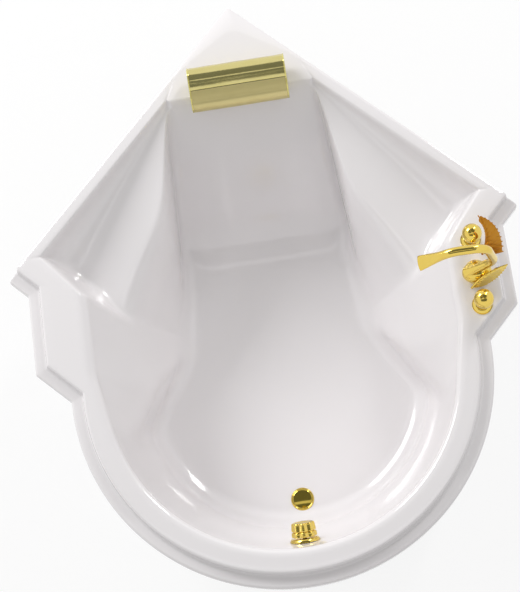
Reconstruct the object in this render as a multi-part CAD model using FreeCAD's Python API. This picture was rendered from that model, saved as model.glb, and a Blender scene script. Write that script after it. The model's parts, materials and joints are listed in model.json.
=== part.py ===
import FreeCAD, Part
import math
import os
from FreeCAD import Vector

# Corner bath with a rounded bow front, a headrest and deck-mounted taps.
# Frame: X across, +Y towards the wall corner, +Z up, origin at the middle of
# the footprint on the floor.  Plan points are written as (x, back), where
# back is the distance from the wall corner along the centre line, and heights
# inside the bath as a drop below the top of the rim.

os.makedirs("parts", exist_ok=True)

# ---------------------------------------------------------------- bath shell
WALL_SIDE = 1400.0          # side of the square that the bath fits into
BOW_RADIUS = 600.0          # outer radius of the bow front
RIM_HEIGHT = 580.0          # floor to the top of the rim
EAR_REACH = 94.0            # how far the ears stand out past the bow
RETURN_LENGTH = 72.0        # short edge square to each wall
NOTCH_RUN = 6.0             # straight run between ear and bow
SHEET = 6.0                 # laminate thickness of rim and floor
WALL_SHEET = 7.0            # laminate thickness of the walls, level with the rim
CORNER_ROUND = 6.0          # plan radius of the rim corners

LIP_DEPTH = 35.0            # turned-down edge of the rim
LEDGE_DROP = 26.0           # height of the step in the front moulding
LIP_ROUND = 8.0
LEDGE_WIDTH = 28.0
COVE_ROUND = 8.0
RISER_WIDTH = 3.0
DECK_ROUND = 7.0

BASIN_DEPTH = 440.0         # top of the rim to the floor of the bath
ELBOW_DROP = 170.0          # level of the crease above the deep well
HEAD_HALF = 220.0
HEAD_BACK = 274.0
BOW_DECK = 103.0            # rim width round the bow, outside to the opening
BOW_LEAN = 24.0             # run of the bow's wall down to the crease
FLOOR_RADIUS = 430.0
EAR_DECK = 164.0            # deck width at the taps, outside to the opening
CREASE_SETBACK = 17.9       # centre of the crease's circle, behind the bow's
FLOOR_SETBACK = 46.4        # centre of the floor's circle, behind the bow's
SIDE_RUN = 71.4             # bow's centre back to where the straight sides end
HIP_RUN = 60.1              # end of the wall edge to the hips
ARM_START_OUT = 62.0        # opening: head corner to the armrest curve, across
ARM_START_RUN = 286.0       # and along
CREASE_HEAD_OUT = 20.0      # crease, from the opening's head corner
CREASE_HEAD_RUN = 134.0
CREASE_ARM_OUT = 50.0
CREASE_ARM_RUN = 381.0
CREASE_HIP_IN = 75.0        # crease, in from the bow's circle
CREASE_SIDE_IN = 85.0
CREASE_HIP_SHARE = 0.473    # shares of the run from the armrest curve to the bow's centre
CREASE_SIDE_SHARE = 0.962
FLOOR_HEAD_OUT = 52.0       # floor, from the opening's head corner
FLOOR_HEAD_RUN = 346.0
FLOOR_ARM_OUT = 57.0
FLOOR_ARM_RUN = 488.0
FLOOR_HIP_IN = 144.0        # floor, in from the bow's circle
FLOOR_SIDE_IN = 132.0
FLOOR_HIP_SHARE = 0.381
FLOOR_SIDE_SHARE = 0.551
CREASE_SLANT = 16.0         # angle on the bow's circle where the straight side ends
FLOOR_SLANT = 9.0
HEAD_CORNER_ROUND = 30.0
ARM_ROUND = 260.0
HIP_ROUND = 60.0
SIDE_ROUND = 120.0
FLOOR_ROUND = 38.0
ROLL_WIDTH = 24.0           # rolled edge of the opening, sides and bow
HEAD_ROLL_WIDTH = 8.0
ROLL_DEPTH = 16.0

ARM_EDGE = 38.0             # opening edge to the wall line, along the walls
ARM_REST = 114.5            # far end of the armrest, short of the wall edge's end
ARM_DEPTH = 118.0           # armrest at the foot of its wall facet
ARM_WIDTH = 390.0
ARM_TAPER = 22.0            # armrest width where it starts
ARM_LEAN = 0.30             # lean of the far wall, run over drop
ARM_SKEW = 0.093            # turn of the far wall in plan
ARM_FOOT_RUN = 86.0         # armrest's wall facet, opening edge to its foot
ARM_FOOT_START = 8.0        # the same run where the armrest starts
ARM_FALL = 28.0             # fall of the armrest from the facet to its ridge
ARM_FALL_START = 2.0
ARM_EDGE_DROP = 10.0        # where the facet starts below the rolled edge
ARM_BEND_RUN = 0.28         # belly of the facet, shares of its run and drop
ARM_BEND_DROP = 0.68
ABOVE_RIM = 8.0             # how far cutting shapes reach above the rim

# ------------------------------------------------------------- under the rim
GROUND_GAP = 5.0
PANEL_INSET = 40.0
PANEL_SHEET = 4.0
CLIP_SHEET = 2.0
CLIP_WIDTH = 30.0
CLIP_LEG = 36.0
PANEL_SCREW_RADIUS = 2.5
CAP_RADIUS = 7.0
BOARD_THICK = 12.0
EAR_BOARD_SET = 4.2         # back edge of the ear board, in front of the ear's corner
BATTEN_WIDTH = 14.0
BATTEN_DEPTH = 20.0
EDGE_CLEAR = 1.0

BASE_BOARD = 18.0
BASE_BOARD_HALF = 225.0
BASE_BOARD_BACK = 660.0
BASE_BOARD_END = 58.0       # front edge of the board, behind the waste
RAIL_WIDTH = 40.0
RAIL_HEIGHT = 25.0
RAIL_SHEET = 2.0
REAR_RAIL_BACK = 730.0
REAR_RAIL_HALF = 330.0
FRONT_RAIL_SET = 148.0      # front rail, behind the waste
FRONT_RAIL_HALF = 420.0
FOOT_INSET = 34.0
STUD_RADIUS = 6.0
STUD_TOP = 14.0             # stud end above the rail
NUT_FLATS = 19.0
NUT_HEIGHT = 10.0
PAD_RADIUS = 25.0
PAD_HEIGHT = 14.0
PAD_FLOOR = 5.0
SCREW_RADIUS = 2.5
SCREW_HEAD_RADIUS = 5.0
SCREW_HEAD = 3.0
SCREW_BITE = 14.0
RAIL_SCREW_HALF = 150.0

# --------------------------------------------------------------------- taps
TAP_INSET = 103.0           # taps and spout, in from the ear's side
TAP_PITCH = 96.0            # spout to each tap
TAP_SHIFT = 18.4            # spout in front of the middle of the ear
KNOB_RADIUS = 28.0
KNOB_HEIGHT = 65.0          # deck to the centre of the ball
KNOB_NECK_RADIUS = 11.0
KNOB_NECK_FOOT = 12.0
COLLAR_RADIUS = 29.0
COLLAR_HEIGHT = 10.0
COLLAR_STEP = 3.0
SHANK_RADIUS = 13.5
HOLE_CLEAR = 1.0
FIT_CLEAR = 0.05
SEAT_CLEAR = 0.3
SHANK_DEPTH = 66.0          # shank below the deck top
SPINDLE_RADIUS = 5.0
SPINDLE_GRIP = 14.0         # spindle inside the ball
SPINDLE_SOCKET = 30.0       # spindle inside the valve, below the deck top
WASHER_RADIUS = 24.0
WASHER_THICK = 2.0
BACKNUT_FLATS = 38.0
BACKNUT_HEIGHT = 10.0
VALVE_RADIUS = 19.0
VALVE_HEIGHT = 40.0
PORT_RADIUS = 9.0
PORT_LENGTH = 12.0
INLET_RADIUS = 13.2         # male thread of a 3/4 inch pipe connection
INLET_LENGTH = 22.0
KNOB_CAP_RADIUS = 6.0
KNOB_CAP_HEIGHT = 2.0
KNOB_FOOT_RADIUS = 16.0
KNOB_FOOT_HEIGHT = 3.0
INLET_BORE_RADIUS = 8.0
LINK_BORE_RADIUS = 7.0

SPOUT_BASE_RADIUS = 36.0
SPOUT_BASE_HEIGHT = 8.0
BODY_SET = 2.0              # middle of the bird's body, inside the tap line
BODY_AHEAD = 8.0            # and in front of the spout's axis
BODY_LENGTH = 84.0
BODY_WIDTH = 64.0
BODY_HEIGHT = 66.0
NECK_RADIUS = 12.5
BEAK_LENGTH = 34.0
BEAK_HALF_WIDTH = 22.0
BEAK_HALF_THICK = 8.0
BEAK_BORE_SHARE = 0.7
BEAK_BORE_DEPTH = 16.0
FEATHER_COUNT = 9
FEATHER_TIP = 7.0
WING_THICK = 4.0
WING_ROOT_OUT = 32.0        # wing root, from the spout's axis
WING_ROOT_HEIGHT = 60.0
WING_LEAN = 30.0            # lean of the raised wing from upright, degrees
FOLDED_WING_OUT = 48.2
FOLDED_WING_LEAN = 15.0     # lean of the folded wing towards the bird, degrees
FOLDED_WING_TURN = 12.0     # its turn in plan, degrees
FOLDED_WING_HEIGHT = 12.0

# ------------------------------------------------------- waste and overflow
WASTE_INSET = 77.0          # waste, from the front edge of the floor
WASTE_HOLE_RADIUS = 26.0
FLANGE_RADIUS = 35.0
FLANGE_THICK = 4.0
FLANGE_DISH_RADIUS = 30.2
FLANGE_DISH_DEPTH = 3.0
FLANGE_TUBE_RADIUS = 25.0
FLANGE_BORE_RADIUS = 21.0
FLANGE_TUBE_LENGTH = 30.0
GUIDE_RADIUS = 8.0
GUIDE_LENGTH = 10.0
GUIDE_RIB = 3.0
STEM_RADIUS = 4.0
STEM_LENGTH = 44.0
PLUG_RADIUS = 29.6
PLUG_EDGE = 1.5
PLUG_CROWN = 4.0
SEAL_RADIUS = 28.0
SEAL_BORE_RADIUS = 23.0
SEAL_THICK = 1.0
GASKET_THICK = 3.0
WASTE_BODY_RADIUS = 30.0
WASTE_TOP_RADIUS = 38.0
WASTE_TOP_THICK = 4.0
WASTE_BODY_DEPTH = 54.0
WASTE_WALL = 3.0
OUTLET_RADIUS = 23.9        # male thread of a 1 1/2 inch trap connection
OUTLET_BORE_RADIUS = 20.0
OUTLET_LENGTH = 24.0

OVERFLOW_DROP = 120.0
OVERFLOW_HOLE_RADIUS = 24.0
ESCUTCHEON_RADIUS = 43.0
ESCUTCHEON_THICK = 9.0
WALL_CURVE_CLEAR = 2.3      # a flat disc on the curved wall stands off by this
CONTROL_RADIUS = 36.5
CONTROL_END_RADIUS = 32.5
CONTROL_FOOT = 4.0
CONTROL_LENGTH = 40.0
CONTROL_LOBES = 8
LOBE_RADIUS = 6.5
CONTROL_SPINDLE_RADIUS = 6.0
CONTROL_GRIP = 20.0
ELBOW_RADIUS = 34.0
ELBOW_PLATE = 4.0
ELBOW_BORE_RADIUS = 23.0
ELBOW_BARREL_RADIUS = 27.0
ELBOW_DEPTH = 34.0
ELBOW_PORT_DEPTH = 45.0
SPINDLE_TAIL = 32.0
CRANK_RADIUS = 12.0
CRANK_THICK = 4.0
PIPE_RADIUS = 16.0
PIPE_WALL = 2.0
PIPE_BEND = 60.0
PIPE_LEVEL = 38.0           # lower run of the pipe, under the bath's floor
CABLE_RADIUS = 3.0
CABLE_BEND = 55.0
CABLE_OFFSET = 32.0
CABLE_LEVEL = 32.0          # lower run of the cable, under the bath's floor
CABLE_PORT_RADIUS = 6.0
CABLE_STUB_RADIUS = 7.0
CABLE_PORT_LENGTH = 20.0
PIPE_PORT = 12.0
PIPE_NUT_RADIUS = 21.0
PIPE_NUT_LENGTH = 16.0
DRAIN_HOLES = 6
DRAIN_HOLE_RADIUS = 4.0
DRAIN_HOLE_RING = 14.0

# ----------------------------------------------------------------- headrest
PILLOW_HALF = 146.0
PILLOW_BACK = 238.0         # centre of the upper roll
PILLOW_HEIGHT = 46.0
UPPER_ROLL_RADIUS = 38.0
LOWER_ROLL_BACK = 298.0
LOWER_ROLL_HEIGHT = 23.0
LOWER_ROLL_RADIUS = 31.0
UPPER_ROLL_END = 70.0       # where each roll ends at the upper crease, degrees
LOWER_ROLL_END = 82.0
CREASE_RISE = 29.0          # bottom of the upper crease, above the line of the rolls' centres
CUP_RADIUS = 17.0
CUP_HEIGHT = 7.7
CUP_SPREAD = 95.0
CUP_COUNT = 3

# ------------------------------------------------------------ derived sizes
BOW_BACK = (WALL_SIDE - BOW_RADIUS) * math.sqrt(2.0)
EAR_X = BOW_RADIUS + EAR_REACH
WALL_END = EAR_X + RETURN_LENGTH / math.sqrt(2.0)
BOWL_RADIUS = BOW_RADIUS - BOW_DECK
CREASE_RADIUS = BOWL_RADIUS - BOW_LEAN
SIDE_HALF = EAR_X - EAR_DECK
SIDE_END = BOW_BACK - SIDE_RUN
CREASE_BACK = BOW_BACK - CREASE_SETBACK
FLOOR_BACK = BOW_BACK - FLOOR_SETBACK
ARM_FAR = WALL_END * math.sqrt(2.0) - ARM_REST
EAR_START = WALL_END + RETURN_LENGTH / math.sqrt(2.0)
EAR_END = BOW_BACK - NOTCH_RUN - EAR_REACH
TAP_X = EAR_X - TAP_INSET
SPOUT_BACK = (EAR_START + EAR_END) / 2.0 + TAP_SHIFT
HOT_BACK = SPOUT_BACK - TAP_PITCH
COLD_BACK = SPOUT_BACK + TAP_PITCH
WASTE_BACK = FLOOR_BACK + FLOOR_RADIUS - WASTE_INSET
BASE_BOARD_FRONT = WASTE_BACK - BASE_BOARD_END
FRONT_RAIL_BACK = WASTE_BACK - FRONT_RAIL_SET
APEX_BACK = CORNER_ROUND * (math.sqrt(2.0) - 1.0)
CORNER_Y = (BOW_BACK + BOW_RADIUS + APEX_BACK) / 2.0
MOULD = LEDGE_WIDTH + COVE_ROUND + RISER_WIDTH
DECK_UNDER = SHEET
LEDGE_UNDER = LEDGE_DROP + SHEET
LIP_DROP = LEDGE_DROP + LIP_DEPTH
FLOOR_UNDER = BASIN_DEPTH + SHEET
BOARD_UNDER = FLOOR_UNDER + BASE_BOARD
RAIL_UNDER = BOARD_UNDER + RAIL_HEIGHT
PIPE_DROP = FLOOR_UNDER + PIPE_LEVEL
CABLE_DROP = FLOOR_UNDER + CABLE_LEVEL
UP = Vector(0, 0, 1)


def spot(x, back, drop):
    """Point of the frame from a plan point and a drop below the rim."""
    return Vector(x, CORNER_Y - back, RIM_HEIGHT - drop)


def save(shape, name):
    """Check a node's solids and write its STEP file."""
    solids = shape.Solids
    if not solids or not shape.isValid():
        raise ValueError(name + " is not a valid solid")
    shape = solids[0] if len(solids) == 1 else Part.makeCompound(solids)
    shape.exportStep("parts/" + name + ".step")
    print(name, len(solids), round(shape.Volume / 1000.0, 2))


def rod(base, axis, radius, length):
    return Part.makeCylinder(radius, length, base, axis)


def ring(base, axis, radius, bore, length):
    return rod(base, axis, radius, length).cut(rod(base, axis, bore, length))


def hexagon(base, axis, flats, height):
    """Hexagonal bar with its axis through base."""
    reach = flats / math.sqrt(3.0)
    turn = FreeCAD.Rotation(UP, axis)
    corners = []
    for k in range(7):
        angle = math.radians(60.0 * k)
        corner = Vector(reach * math.cos(angle), reach * math.sin(angle), 0)
        corners.append(base + turn.multVec(corner))
    face = Part.Face(Part.makePolygon(corners))
    return face.extrude(Vector(axis).normalize() * height)


def mirrored(shape):
    return shape.mirror(Vector(0, 0, 0), Vector(1, 0, 0))


# ------------------------------------------------------------ plan outlines
def shifted(points, distances):
    """Move each edge of an open chain of (x, back) points outwards.

    The chain runs from the right-hand side over the head to the left."""
    normals = []
    for (x0, b0), (x1, b1) in zip(points, points[1:]):
        span = math.hypot(x1 - x0, b1 - b0)
        normals.append(((b0 - b1) / span, (x1 - x0) / span))
    moved = []
    for i, (x, b) in enumerate(points):
        before = max(i - 1, 0)
        after = min(i, len(normals) - 1)
        nx0, nb0 = normals[before]
        nx1, nb1 = normals[after]
        d0, d1 = distances[before], distances[after]
        cross = nx0 * nb1 - nb0 * nx1
        if abs(cross) < 1e-6:
            moved.append((x + nx0 * d0, b + nb0 * d0))
            continue
        wx = (d0 * nb1 - d1 * nb0) / cross
        wb = (nx0 * d1 - nx1 * d0) / cross
        moved.append((x + wx, b + wb))
    return moved


def rounded(points, radii):
    """Edges along a chain of vectors, its inner corners rounded."""
    edges = []
    start = points[0]
    for i in range(1, len(points) - 1):
        corner = points[i]
        u = (points[i - 1] - corner).normalize()
        v = (points[i + 1] - corner).normalize()
        half = u.getAngle(v) / 2.0
        reach = radii[i] / math.tan(half)
        first = corner + u * reach
        last = corner + v * reach
        middle = (u + v).normalize()
        centre = corner + middle * (radii[i] / math.sin(half))
        edges.append(Part.makeLine(start, first))
        edges.append(Part.Arc(first, centre - middle * radii[i], last).toShape())
        start = last
    edges.append(Part.makeLine(start, points[-1]))
    return edges


def swept(points, bends, radius):
    """Round bar along straight runs joined by tangent arcs."""
    edges = rounded(points, bends)
    start = (points[1] - points[0]).normalize()
    profile = Part.Wire([Part.Circle(points[0], start, radius).toShape()])
    bar = Part.Wire(edges).makePipeShell([profile], True, True)
    length = sum(edge.Length for edge in edges)
    print("bar", round(length, 1), round(bar.Volume / (math.pi * radius ** 2 * length), 4))
    return bar


def bowed_wire(points, radii, bow_back, bow_radius, drop):
    """Closed outline: a chain over the head, then the bow's arc."""
    chain = [spot(x, b, drop) for x, b in points]
    front = spot(0, bow_back + bow_radius, drop)
    edges = rounded(chain, radii)
    edges.append(Part.Arc(chain[-1], front, chain[0]).toShape())
    return Part.Wire(edges)


def symmetric(half):
    """Chain from the right end over the head to the mirrored left end."""
    return half + [(-x, b) for x, b in reversed(half)]


def rim_wire(mould, wall, drop):
    """Rim outline, drawn in by mould at the front and by wall at the walls."""
    half = [(BOW_RADIUS, BOW_BACK), (BOW_RADIUS, BOW_BACK - NOTCH_RUN),
            (EAR_X, EAR_END), (EAR_X, EAR_START),
            (WALL_END, WALL_END), (0.0, 0.0)]
    points = half + [(-x, b) for x, b in reversed(half[:-1])]
    drawn = [-mould] * 4 + [-wall] * 2 + [-mould] * 4
    radii = [0.0] + [CORNER_ROUND] * (len(points) - 2) + [0.0]
    return bowed_wire(shifted(points, drawn), radii, BOW_BACK, BOW_RADIUS - mould, drop)


def stack(wires):
    return Part.makeLoft(wires, True, True)


def rim_prism(mould, wall, top, bottom):
    return stack([rim_wire(mould, wall, bottom), rim_wire(mould, wall, top)])


# ---------------------------------------------------------------- the basin
# One outline: head corner, start and end of the armrest curve, start of the
# bow, the angle where the side meets the bow's circle, and that circle.
def tangent_angle(x, back, bow_back, radius):
    """Angle on a circle, below its side, where a line from a point touches it."""
    distance = math.hypot(x, back - bow_back)
    bearing = math.atan2(bow_back - back, x)
    return math.acos(radius / distance) - bearing


def lower_level(head_out, head_run, arm_out, arm_run, hip_in, hip_share, side_in, side_share,
                slant, bow_back, radius):
    """Outline values from sizes off the opening's head corner and the bow's circle."""
    arm_back = HEAD_BACK + arm_run
    reach = bow_back - arm_back
    return (HEAD_HALF + head_out, HEAD_BACK + head_run, HEAD_HALF + arm_out, arm_back,
            radius - hip_in, arm_back + reach * hip_share,
            radius - side_in, arm_back + reach * side_share,
            math.radians(slant), bow_back, radius)


OPENING_LEVEL = (HEAD_HALF, HEAD_BACK, HEAD_HALF + ARM_START_OUT, HEAD_BACK + ARM_START_RUN,
                 SIDE_HALF, WALL_END + HIP_RUN, SIDE_HALF, SIDE_END,
                 tangent_angle(SIDE_HALF, SIDE_END, BOW_BACK, BOWL_RADIUS), BOW_BACK, BOWL_RADIUS)
CREASE_LEVEL = lower_level(CREASE_HEAD_OUT, CREASE_HEAD_RUN, CREASE_ARM_OUT, CREASE_ARM_RUN,
                           CREASE_HIP_IN, CREASE_HIP_SHARE, CREASE_SIDE_IN, CREASE_SIDE_SHARE,
                           CREASE_SLANT, CREASE_BACK, CREASE_RADIUS)
FLOOR_LEVEL = lower_level(FLOOR_HEAD_OUT, FLOOR_HEAD_RUN, FLOOR_ARM_OUT, FLOOR_ARM_RUN,
                          FLOOR_HIP_IN, FLOOR_HIP_SHARE, FLOOR_SIDE_IN, FLOOR_SIDE_SHARE,
                          FLOOR_SLANT, FLOOR_BACK, FLOOR_RADIUS)


def between(first, second, share):
    return tuple(a + (b - a) * share for a, b in zip(first, second))


def basin_level(drop):
    """Outline values of the basin's wall at one level."""
    if drop <= ELBOW_DROP:
        return between(OPENING_LEVEL, CREASE_LEVEL, drop / ELBOW_DROP)
    share = (drop - ELBOW_DROP) / (BASIN_DEPTH - ELBOW_DROP)
    return between(CREASE_LEVEL, FLOOR_LEVEL, share)


def basin_wire(level, head_grow, side_grow, drop):
    """Outline of the basin at one level, grown at the head and at the sides."""
    hx, hb, ax, ab, qx, qb, px, pb, angle, bow_back, radius = level
    bow = radius + side_grow
    ends = (bow * math.cos(angle), bow_back + bow * math.sin(angle))
    slant = (radius * math.cos(angle), bow_back + radius * math.sin(angle))
    half = [slant, (px, pb), (qx, qb), (ax, ab), (hx, hb)]
    grow = [side_grow] * 2 + [head_grow] * 2
    points = shifted(symmetric(half), grow + [head_grow] + grow[::-1])
    points[0] = ends
    points[-1] = (-ends[0], ends[1])
    radii = [0.0, SIDE_ROUND, HIP_ROUND, ARM_ROUND, HEAD_CORNER_ROUND]
    return bowed_wire(points, radii + radii[::-1], bow_back, bow, drop)


def bowl(grow, depth):
    """The basin without its armrests: rolled edge, walls and rounded floor."""
    wires = []
    for angle in (0.0, 30.0, 60.0):
        turn = math.radians(angle)
        drop = ROLL_DEPTH * (1.0 - math.cos(turn))
        roll = 1.0 - math.sin(turn)
        level = basin_level(drop)
        wires.append(basin_wire(level, grow + HEAD_ROLL_WIDTH * roll,
                                grow + ROLL_WIDTH * roll, drop + (grow > 0) * 0.5))
    for drop in (ROLL_DEPTH + grow, ELBOW_DROP):
        wires.append(basin_wire(basin_level(drop), grow, grow, drop))
    if grow:
        wires.append(basin_wire(FLOOR_LEVEL, grow, grow, depth))
        return stack(wires)
    for angle in (0.0, 30.0, 60.0, 90.0):
        turn = math.radians(angle)
        drop = depth - FLOOR_ROUND * (1.0 - math.sin(turn))
        inset = FLOOR_ROUND * (1.0 - math.cos(turn))
        wires.append(basin_wire(basin_level(drop), -inset, -inset, drop))
    return stack(wires)


def arm_wire(start, scale, grow):
    """Section of the armrest hollow, on a plane that leans and turns a little."""
    edge = ARM_EDGE - grow
    far = ARM_EDGE + ARM_TAPER + (ARM_WIDTH - ARM_TAPER) * scale
    depth = ROLL_DEPTH + (ARM_DEPTH - ROLL_DEPTH) * scale + grow
    foot = edge + ARM_FOOT_START + (ARM_FOOT_RUN - ARM_FOOT_START) * scale
    ridge = depth + ARM_FALL_START + (ARM_FALL - ARM_FALL_START) * scale

    def place(across, drop):
        along = start + scale * (grow + ARM_SKEW * (across - ARM_EDGE) - ARM_LEAN * drop)
        return spot((along - across) / math.sqrt(2.0), (along + across) / math.sqrt(2.0), drop)

    outline = [(edge - HEAD_ROLL_WIDTH, -ABOVE_RIM), (edge - HEAD_ROLL_WIDTH, 0.0),
               (edge - HEAD_ROLL_WIDTH / 4.0, ARM_EDGE_DROP * 0.4), (edge, ARM_EDGE_DROP),
               (foot, depth), (far, ridge), (far, -ABOVE_RIM)]
    points = [place(across, drop) for across, drop in outline]
    belly = place(edge + ARM_BEND_RUN * (foot - edge),
                  ARM_EDGE_DROP + ARM_BEND_DROP * (depth - ARM_EDGE_DROP))
    edges = []
    for i, point in enumerate(points):
        following = points[(i + 1) % len(points)]
        if i == 3:
            edges.append(Part.Arc(point, belly, following).toShape())
        else:
            edges.append(Part.makeLine(point, following))
    return Part.Wire(edges)


def armrest(grow):
    """Right-hand armrest hollow, narrow at the head and deep at the far wall."""
    start = (HEAD_HALF + HEAD_BACK) / math.sqrt(2.0)
    return Part.makeLoft([arm_wire(start - grow, 0.0, grow), arm_wire(ARM_FAR, 1.0, grow)], True, True)


def bath_shell():
    lower = stack([rim_wire(0, 0, LIP_DROP), rim_wire(0, 0, LEDGE_DROP + LIP_ROUND),
                   rim_wire(LIP_ROUND * 0.3, 0, LEDGE_DROP + LIP_ROUND * 0.3),
                   rim_wire(LIP_ROUND, 0, LEDGE_DROP)])
    cove = LEDGE_WIDTH + COVE_ROUND
    upper = stack([rim_wire(LEDGE_WIDTH, 0, LEDGE_DROP),
                   rim_wire(LEDGE_WIDTH + COVE_ROUND * 0.7, 0, LEDGE_DROP - COVE_ROUND * 0.3),
                   rim_wire(cove, 0, LEDGE_DROP - COVE_ROUND),
                   rim_wire(MOULD, 0, DECK_ROUND),
                   rim_wire(MOULD + DECK_ROUND * 0.3, 0, DECK_ROUND * 0.3),
                   rim_wire(MOULD + DECK_ROUND, 0, 0)])
    under = rim_prism(SHEET, SHEET, LEDGE_UNDER, LIP_DROP + 1.0)
    under = under.fuse(rim_prism(MOULD + SHEET, SHEET, DECK_UNDER, LEDGE_UNDER + 1.0))
    rim = lower.fuse(upper).cut(under)
    outer_arm = armrest(WALL_SHEET)
    inner_arm = armrest(0.0)
    below_rim = Part.makeBox(4 * WALL_SIDE, 4 * WALL_SIDE, RIM_HEIGHT - 1.0,
                             Vector(-2 * WALL_SIDE, -2 * WALL_SIDE, 0))
    outer_arm = outer_arm.common(below_rim)
    body = bowl(WALL_SHEET, FLOOR_UNDER).fuse([outer_arm, mirrored(outer_arm)])
    space = bowl(0.0, BASIN_DEPTH).fuse([inner_arm, mirrored(inner_arm)])
    return rim.fuse(body).cut(space)


def tap_holes(top, bottom):
    """Drill for both valves and the spout, through the deck and its board."""
    holes = []
    for back in (HOT_BACK, SPOUT_BACK, COLD_BACK):
        holes.append(rod(spot(TAP_X, back, bottom), UP, SHANK_RADIUS + HOLE_CLEAR, bottom - top))
    return holes


# ------------------------------------------------------------ under the rim
BOARD_EDGE = MOULD + SHEET + EDGE_CLEAR
WALL_EDGE = SHEET + EDGE_CLEAR
EAR_BOARD_SIDE = SIDE_HALF + ROLL_WIDTH + 2 * SHEET
EAR_BOARD_BACK = EAR_START + EAR_BOARD_SET
EAR_BOARD_FRONT = EAR_END + MOULD


def plan_box(x0, x1, back0, back1, top, bottom):
    corner = spot(x0, back1, bottom)
    return Part.makeBox(x1 - x0, back1 - back0, bottom - top, corner)


def ear_board():
    """Board bonded under one ear of the deck."""
    top, bottom = DECK_UNDER, DECK_UNDER + BOARD_THICK
    blank = plan_box(EAR_BOARD_SIDE, WALL_END, EAR_BOARD_BACK, EAR_BOARD_FRONT, top, bottom)
    return blank.common(rim_prism(BOARD_EDGE, WALL_EDGE, top, bottom))


def corner_board():
    top, bottom = DECK_UNDER, DECK_UNDER + BOARD_THICK
    front = HEAD_BACK - HEAD_ROLL_WIDTH - 2 * WALL_SHEET - EDGE_CLEAR
    blank = plan_box(-HEAD_BACK, HEAD_BACK, 0.0, front, top, bottom)
    return blank.common(rim_prism(BOARD_EDGE, WALL_EDGE, top, bottom))


def rim_batten():
    """Right-hand batten, along the wall between the corner and the ear."""
    start = (HEAD_HALF + HEAD_BACK) / math.sqrt(2.0) + BATTEN_WIDTH
    length = ARM_FAR - start - BATTEN_WIDTH
    blank = Part.makeBox(length, BATTEN_WIDTH, BATTEN_DEPTH)
    blank.rotate(Vector(0, 0, 0), UP, -45.0)
    along = start / math.sqrt(2.0)
    across = (WALL_EDGE + BATTEN_WIDTH) / math.sqrt(2.0)
    blank.translate(spot(along - across, along + across, DECK_UNDER + BATTEN_DEPTH))
    return blank


def front_panel():
    top = LEDGE_UNDER + CLIP_SHEET + SEAT_CLEAR
    bottom = RIM_HEIGHT - GROUND_GAP
    skin = rim_prism(PANEL_INSET, WALL_EDGE, top, bottom)
    return skin.cut(rim_prism(PANEL_INSET + PANEL_SHEET, -PANEL_INSET, top - 1.0, bottom + 1.0))


def clip_places():
    """Inner panel face and outward direction at each panel clip."""
    places = []
    inner = BOW_RADIUS - PANEL_INSET - PANEL_SHEET
    for angle in (18.0, 63.0, 117.0, 162.0):
        turn = math.radians(angle)
        x, b = math.cos(turn), math.sin(turn)
        places.append((spot(inner * x, BOW_BACK + inner * b, 0), Vector(x, -b, 0)))
    inner = EAR_X - PANEL_INSET - PANEL_SHEET
    for side in (1.0, -1.0):
        places.append((spot(side * inner, SPOUT_BACK, 0), Vector(side, 0, 0)))
    return places


def upright_plate(face, out, inset0, inset1, width, top, bottom):
    """Plate across a direction, from one distance inside a face to another."""
    blank = Part.makeBox(inset1 - inset0, width, bottom - top)
    blank.translate(Vector(-inset1, -width / 2.0, -bottom))
    blank.rotate(Vector(0, 0, 0), UP, math.degrees(math.atan2(out.y, out.x)))
    blank.translate(face)
    return blank


SCREW_LEVEL = LEDGE_UNDER + CLIP_SHEET + SCREW_HEAD_RADIUS * 2


def panel_clips():
    clips = []
    for face, out in clip_places():
        top = LEDGE_UNDER
        reach = PANEL_INSET - SHEET * 2
        flat = upright_plate(face, out, -reach, SEAT_CLEAR + CLIP_SHEET, CLIP_WIDTH, top, top + CLIP_SHEET)
        leg = upright_plate(face, out, SEAT_CLEAR, SEAT_CLEAR + CLIP_SHEET, CLIP_WIDTH, top, top + CLIP_LEG)
        drill = rod(face - out * PAD_RADIUS - UP * SCREW_LEVEL, out, SCREW_RADIUS + FIT_CLEAR, PAD_RADIUS)
        clips.append(flat.fuse(leg).removeSplitter().cut(drill))
    return Part.makeCompound(clips)


def panel_screws():
    screws = []
    for face, out in clip_places():
        head = face + out * (PANEL_SHEET + SEAT_CLEAR) - UP * SCREW_LEVEL
        shank = rod(head, out * -1.0, SCREW_RADIUS, SCREW_BITE)
        screws.append(shank.fuse(rod(head, out, SCREW_HEAD_RADIUS, SCREW_HEAD)).removeSplitter())
    return Part.makeCompound(screws)


def panel_drills():
    drills = []
    for face, out in clip_places():
        start = face - out * PAD_RADIUS - UP * SCREW_LEVEL
        drills.append(rod(start, out, SCREW_RADIUS + FIT_CLEAR, 2 * PAD_RADIUS))
    return drills


# -------------------------------------------------------------- the cradle
RAILS = {"rear_cradle_rail": (REAR_RAIL_BACK, REAR_RAIL_HALF),
         "front_cradle_rail": (FRONT_RAIL_BACK, FRONT_RAIL_HALF)}
CENTRE_LEG_BACK = (REAR_RAIL_BACK + FRONT_RAIL_BACK) / 2.0


def base_board():
    board = plan_box(-BASE_BOARD_HALF, BASE_BOARD_HALF, BASE_BOARD_BACK, BASE_BOARD_FRONT,
                     FLOOR_UNDER, BOARD_UNDER)
    return board.cut([screw.common(board) for screw in rail_screw_rods(FIT_CLEAR)])


def rail_screw_rods(clear):
    rods = []
    for back, half in RAILS.values():
        for side in (-1.0, 1.0):
            foot = spot(side * RAIL_SCREW_HALF, back, RAIL_UNDER)
            rods.append(rod(foot, UP, SCREW_RADIUS + clear, RAIL_HEIGHT + SCREW_BITE))
    return rods


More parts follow.
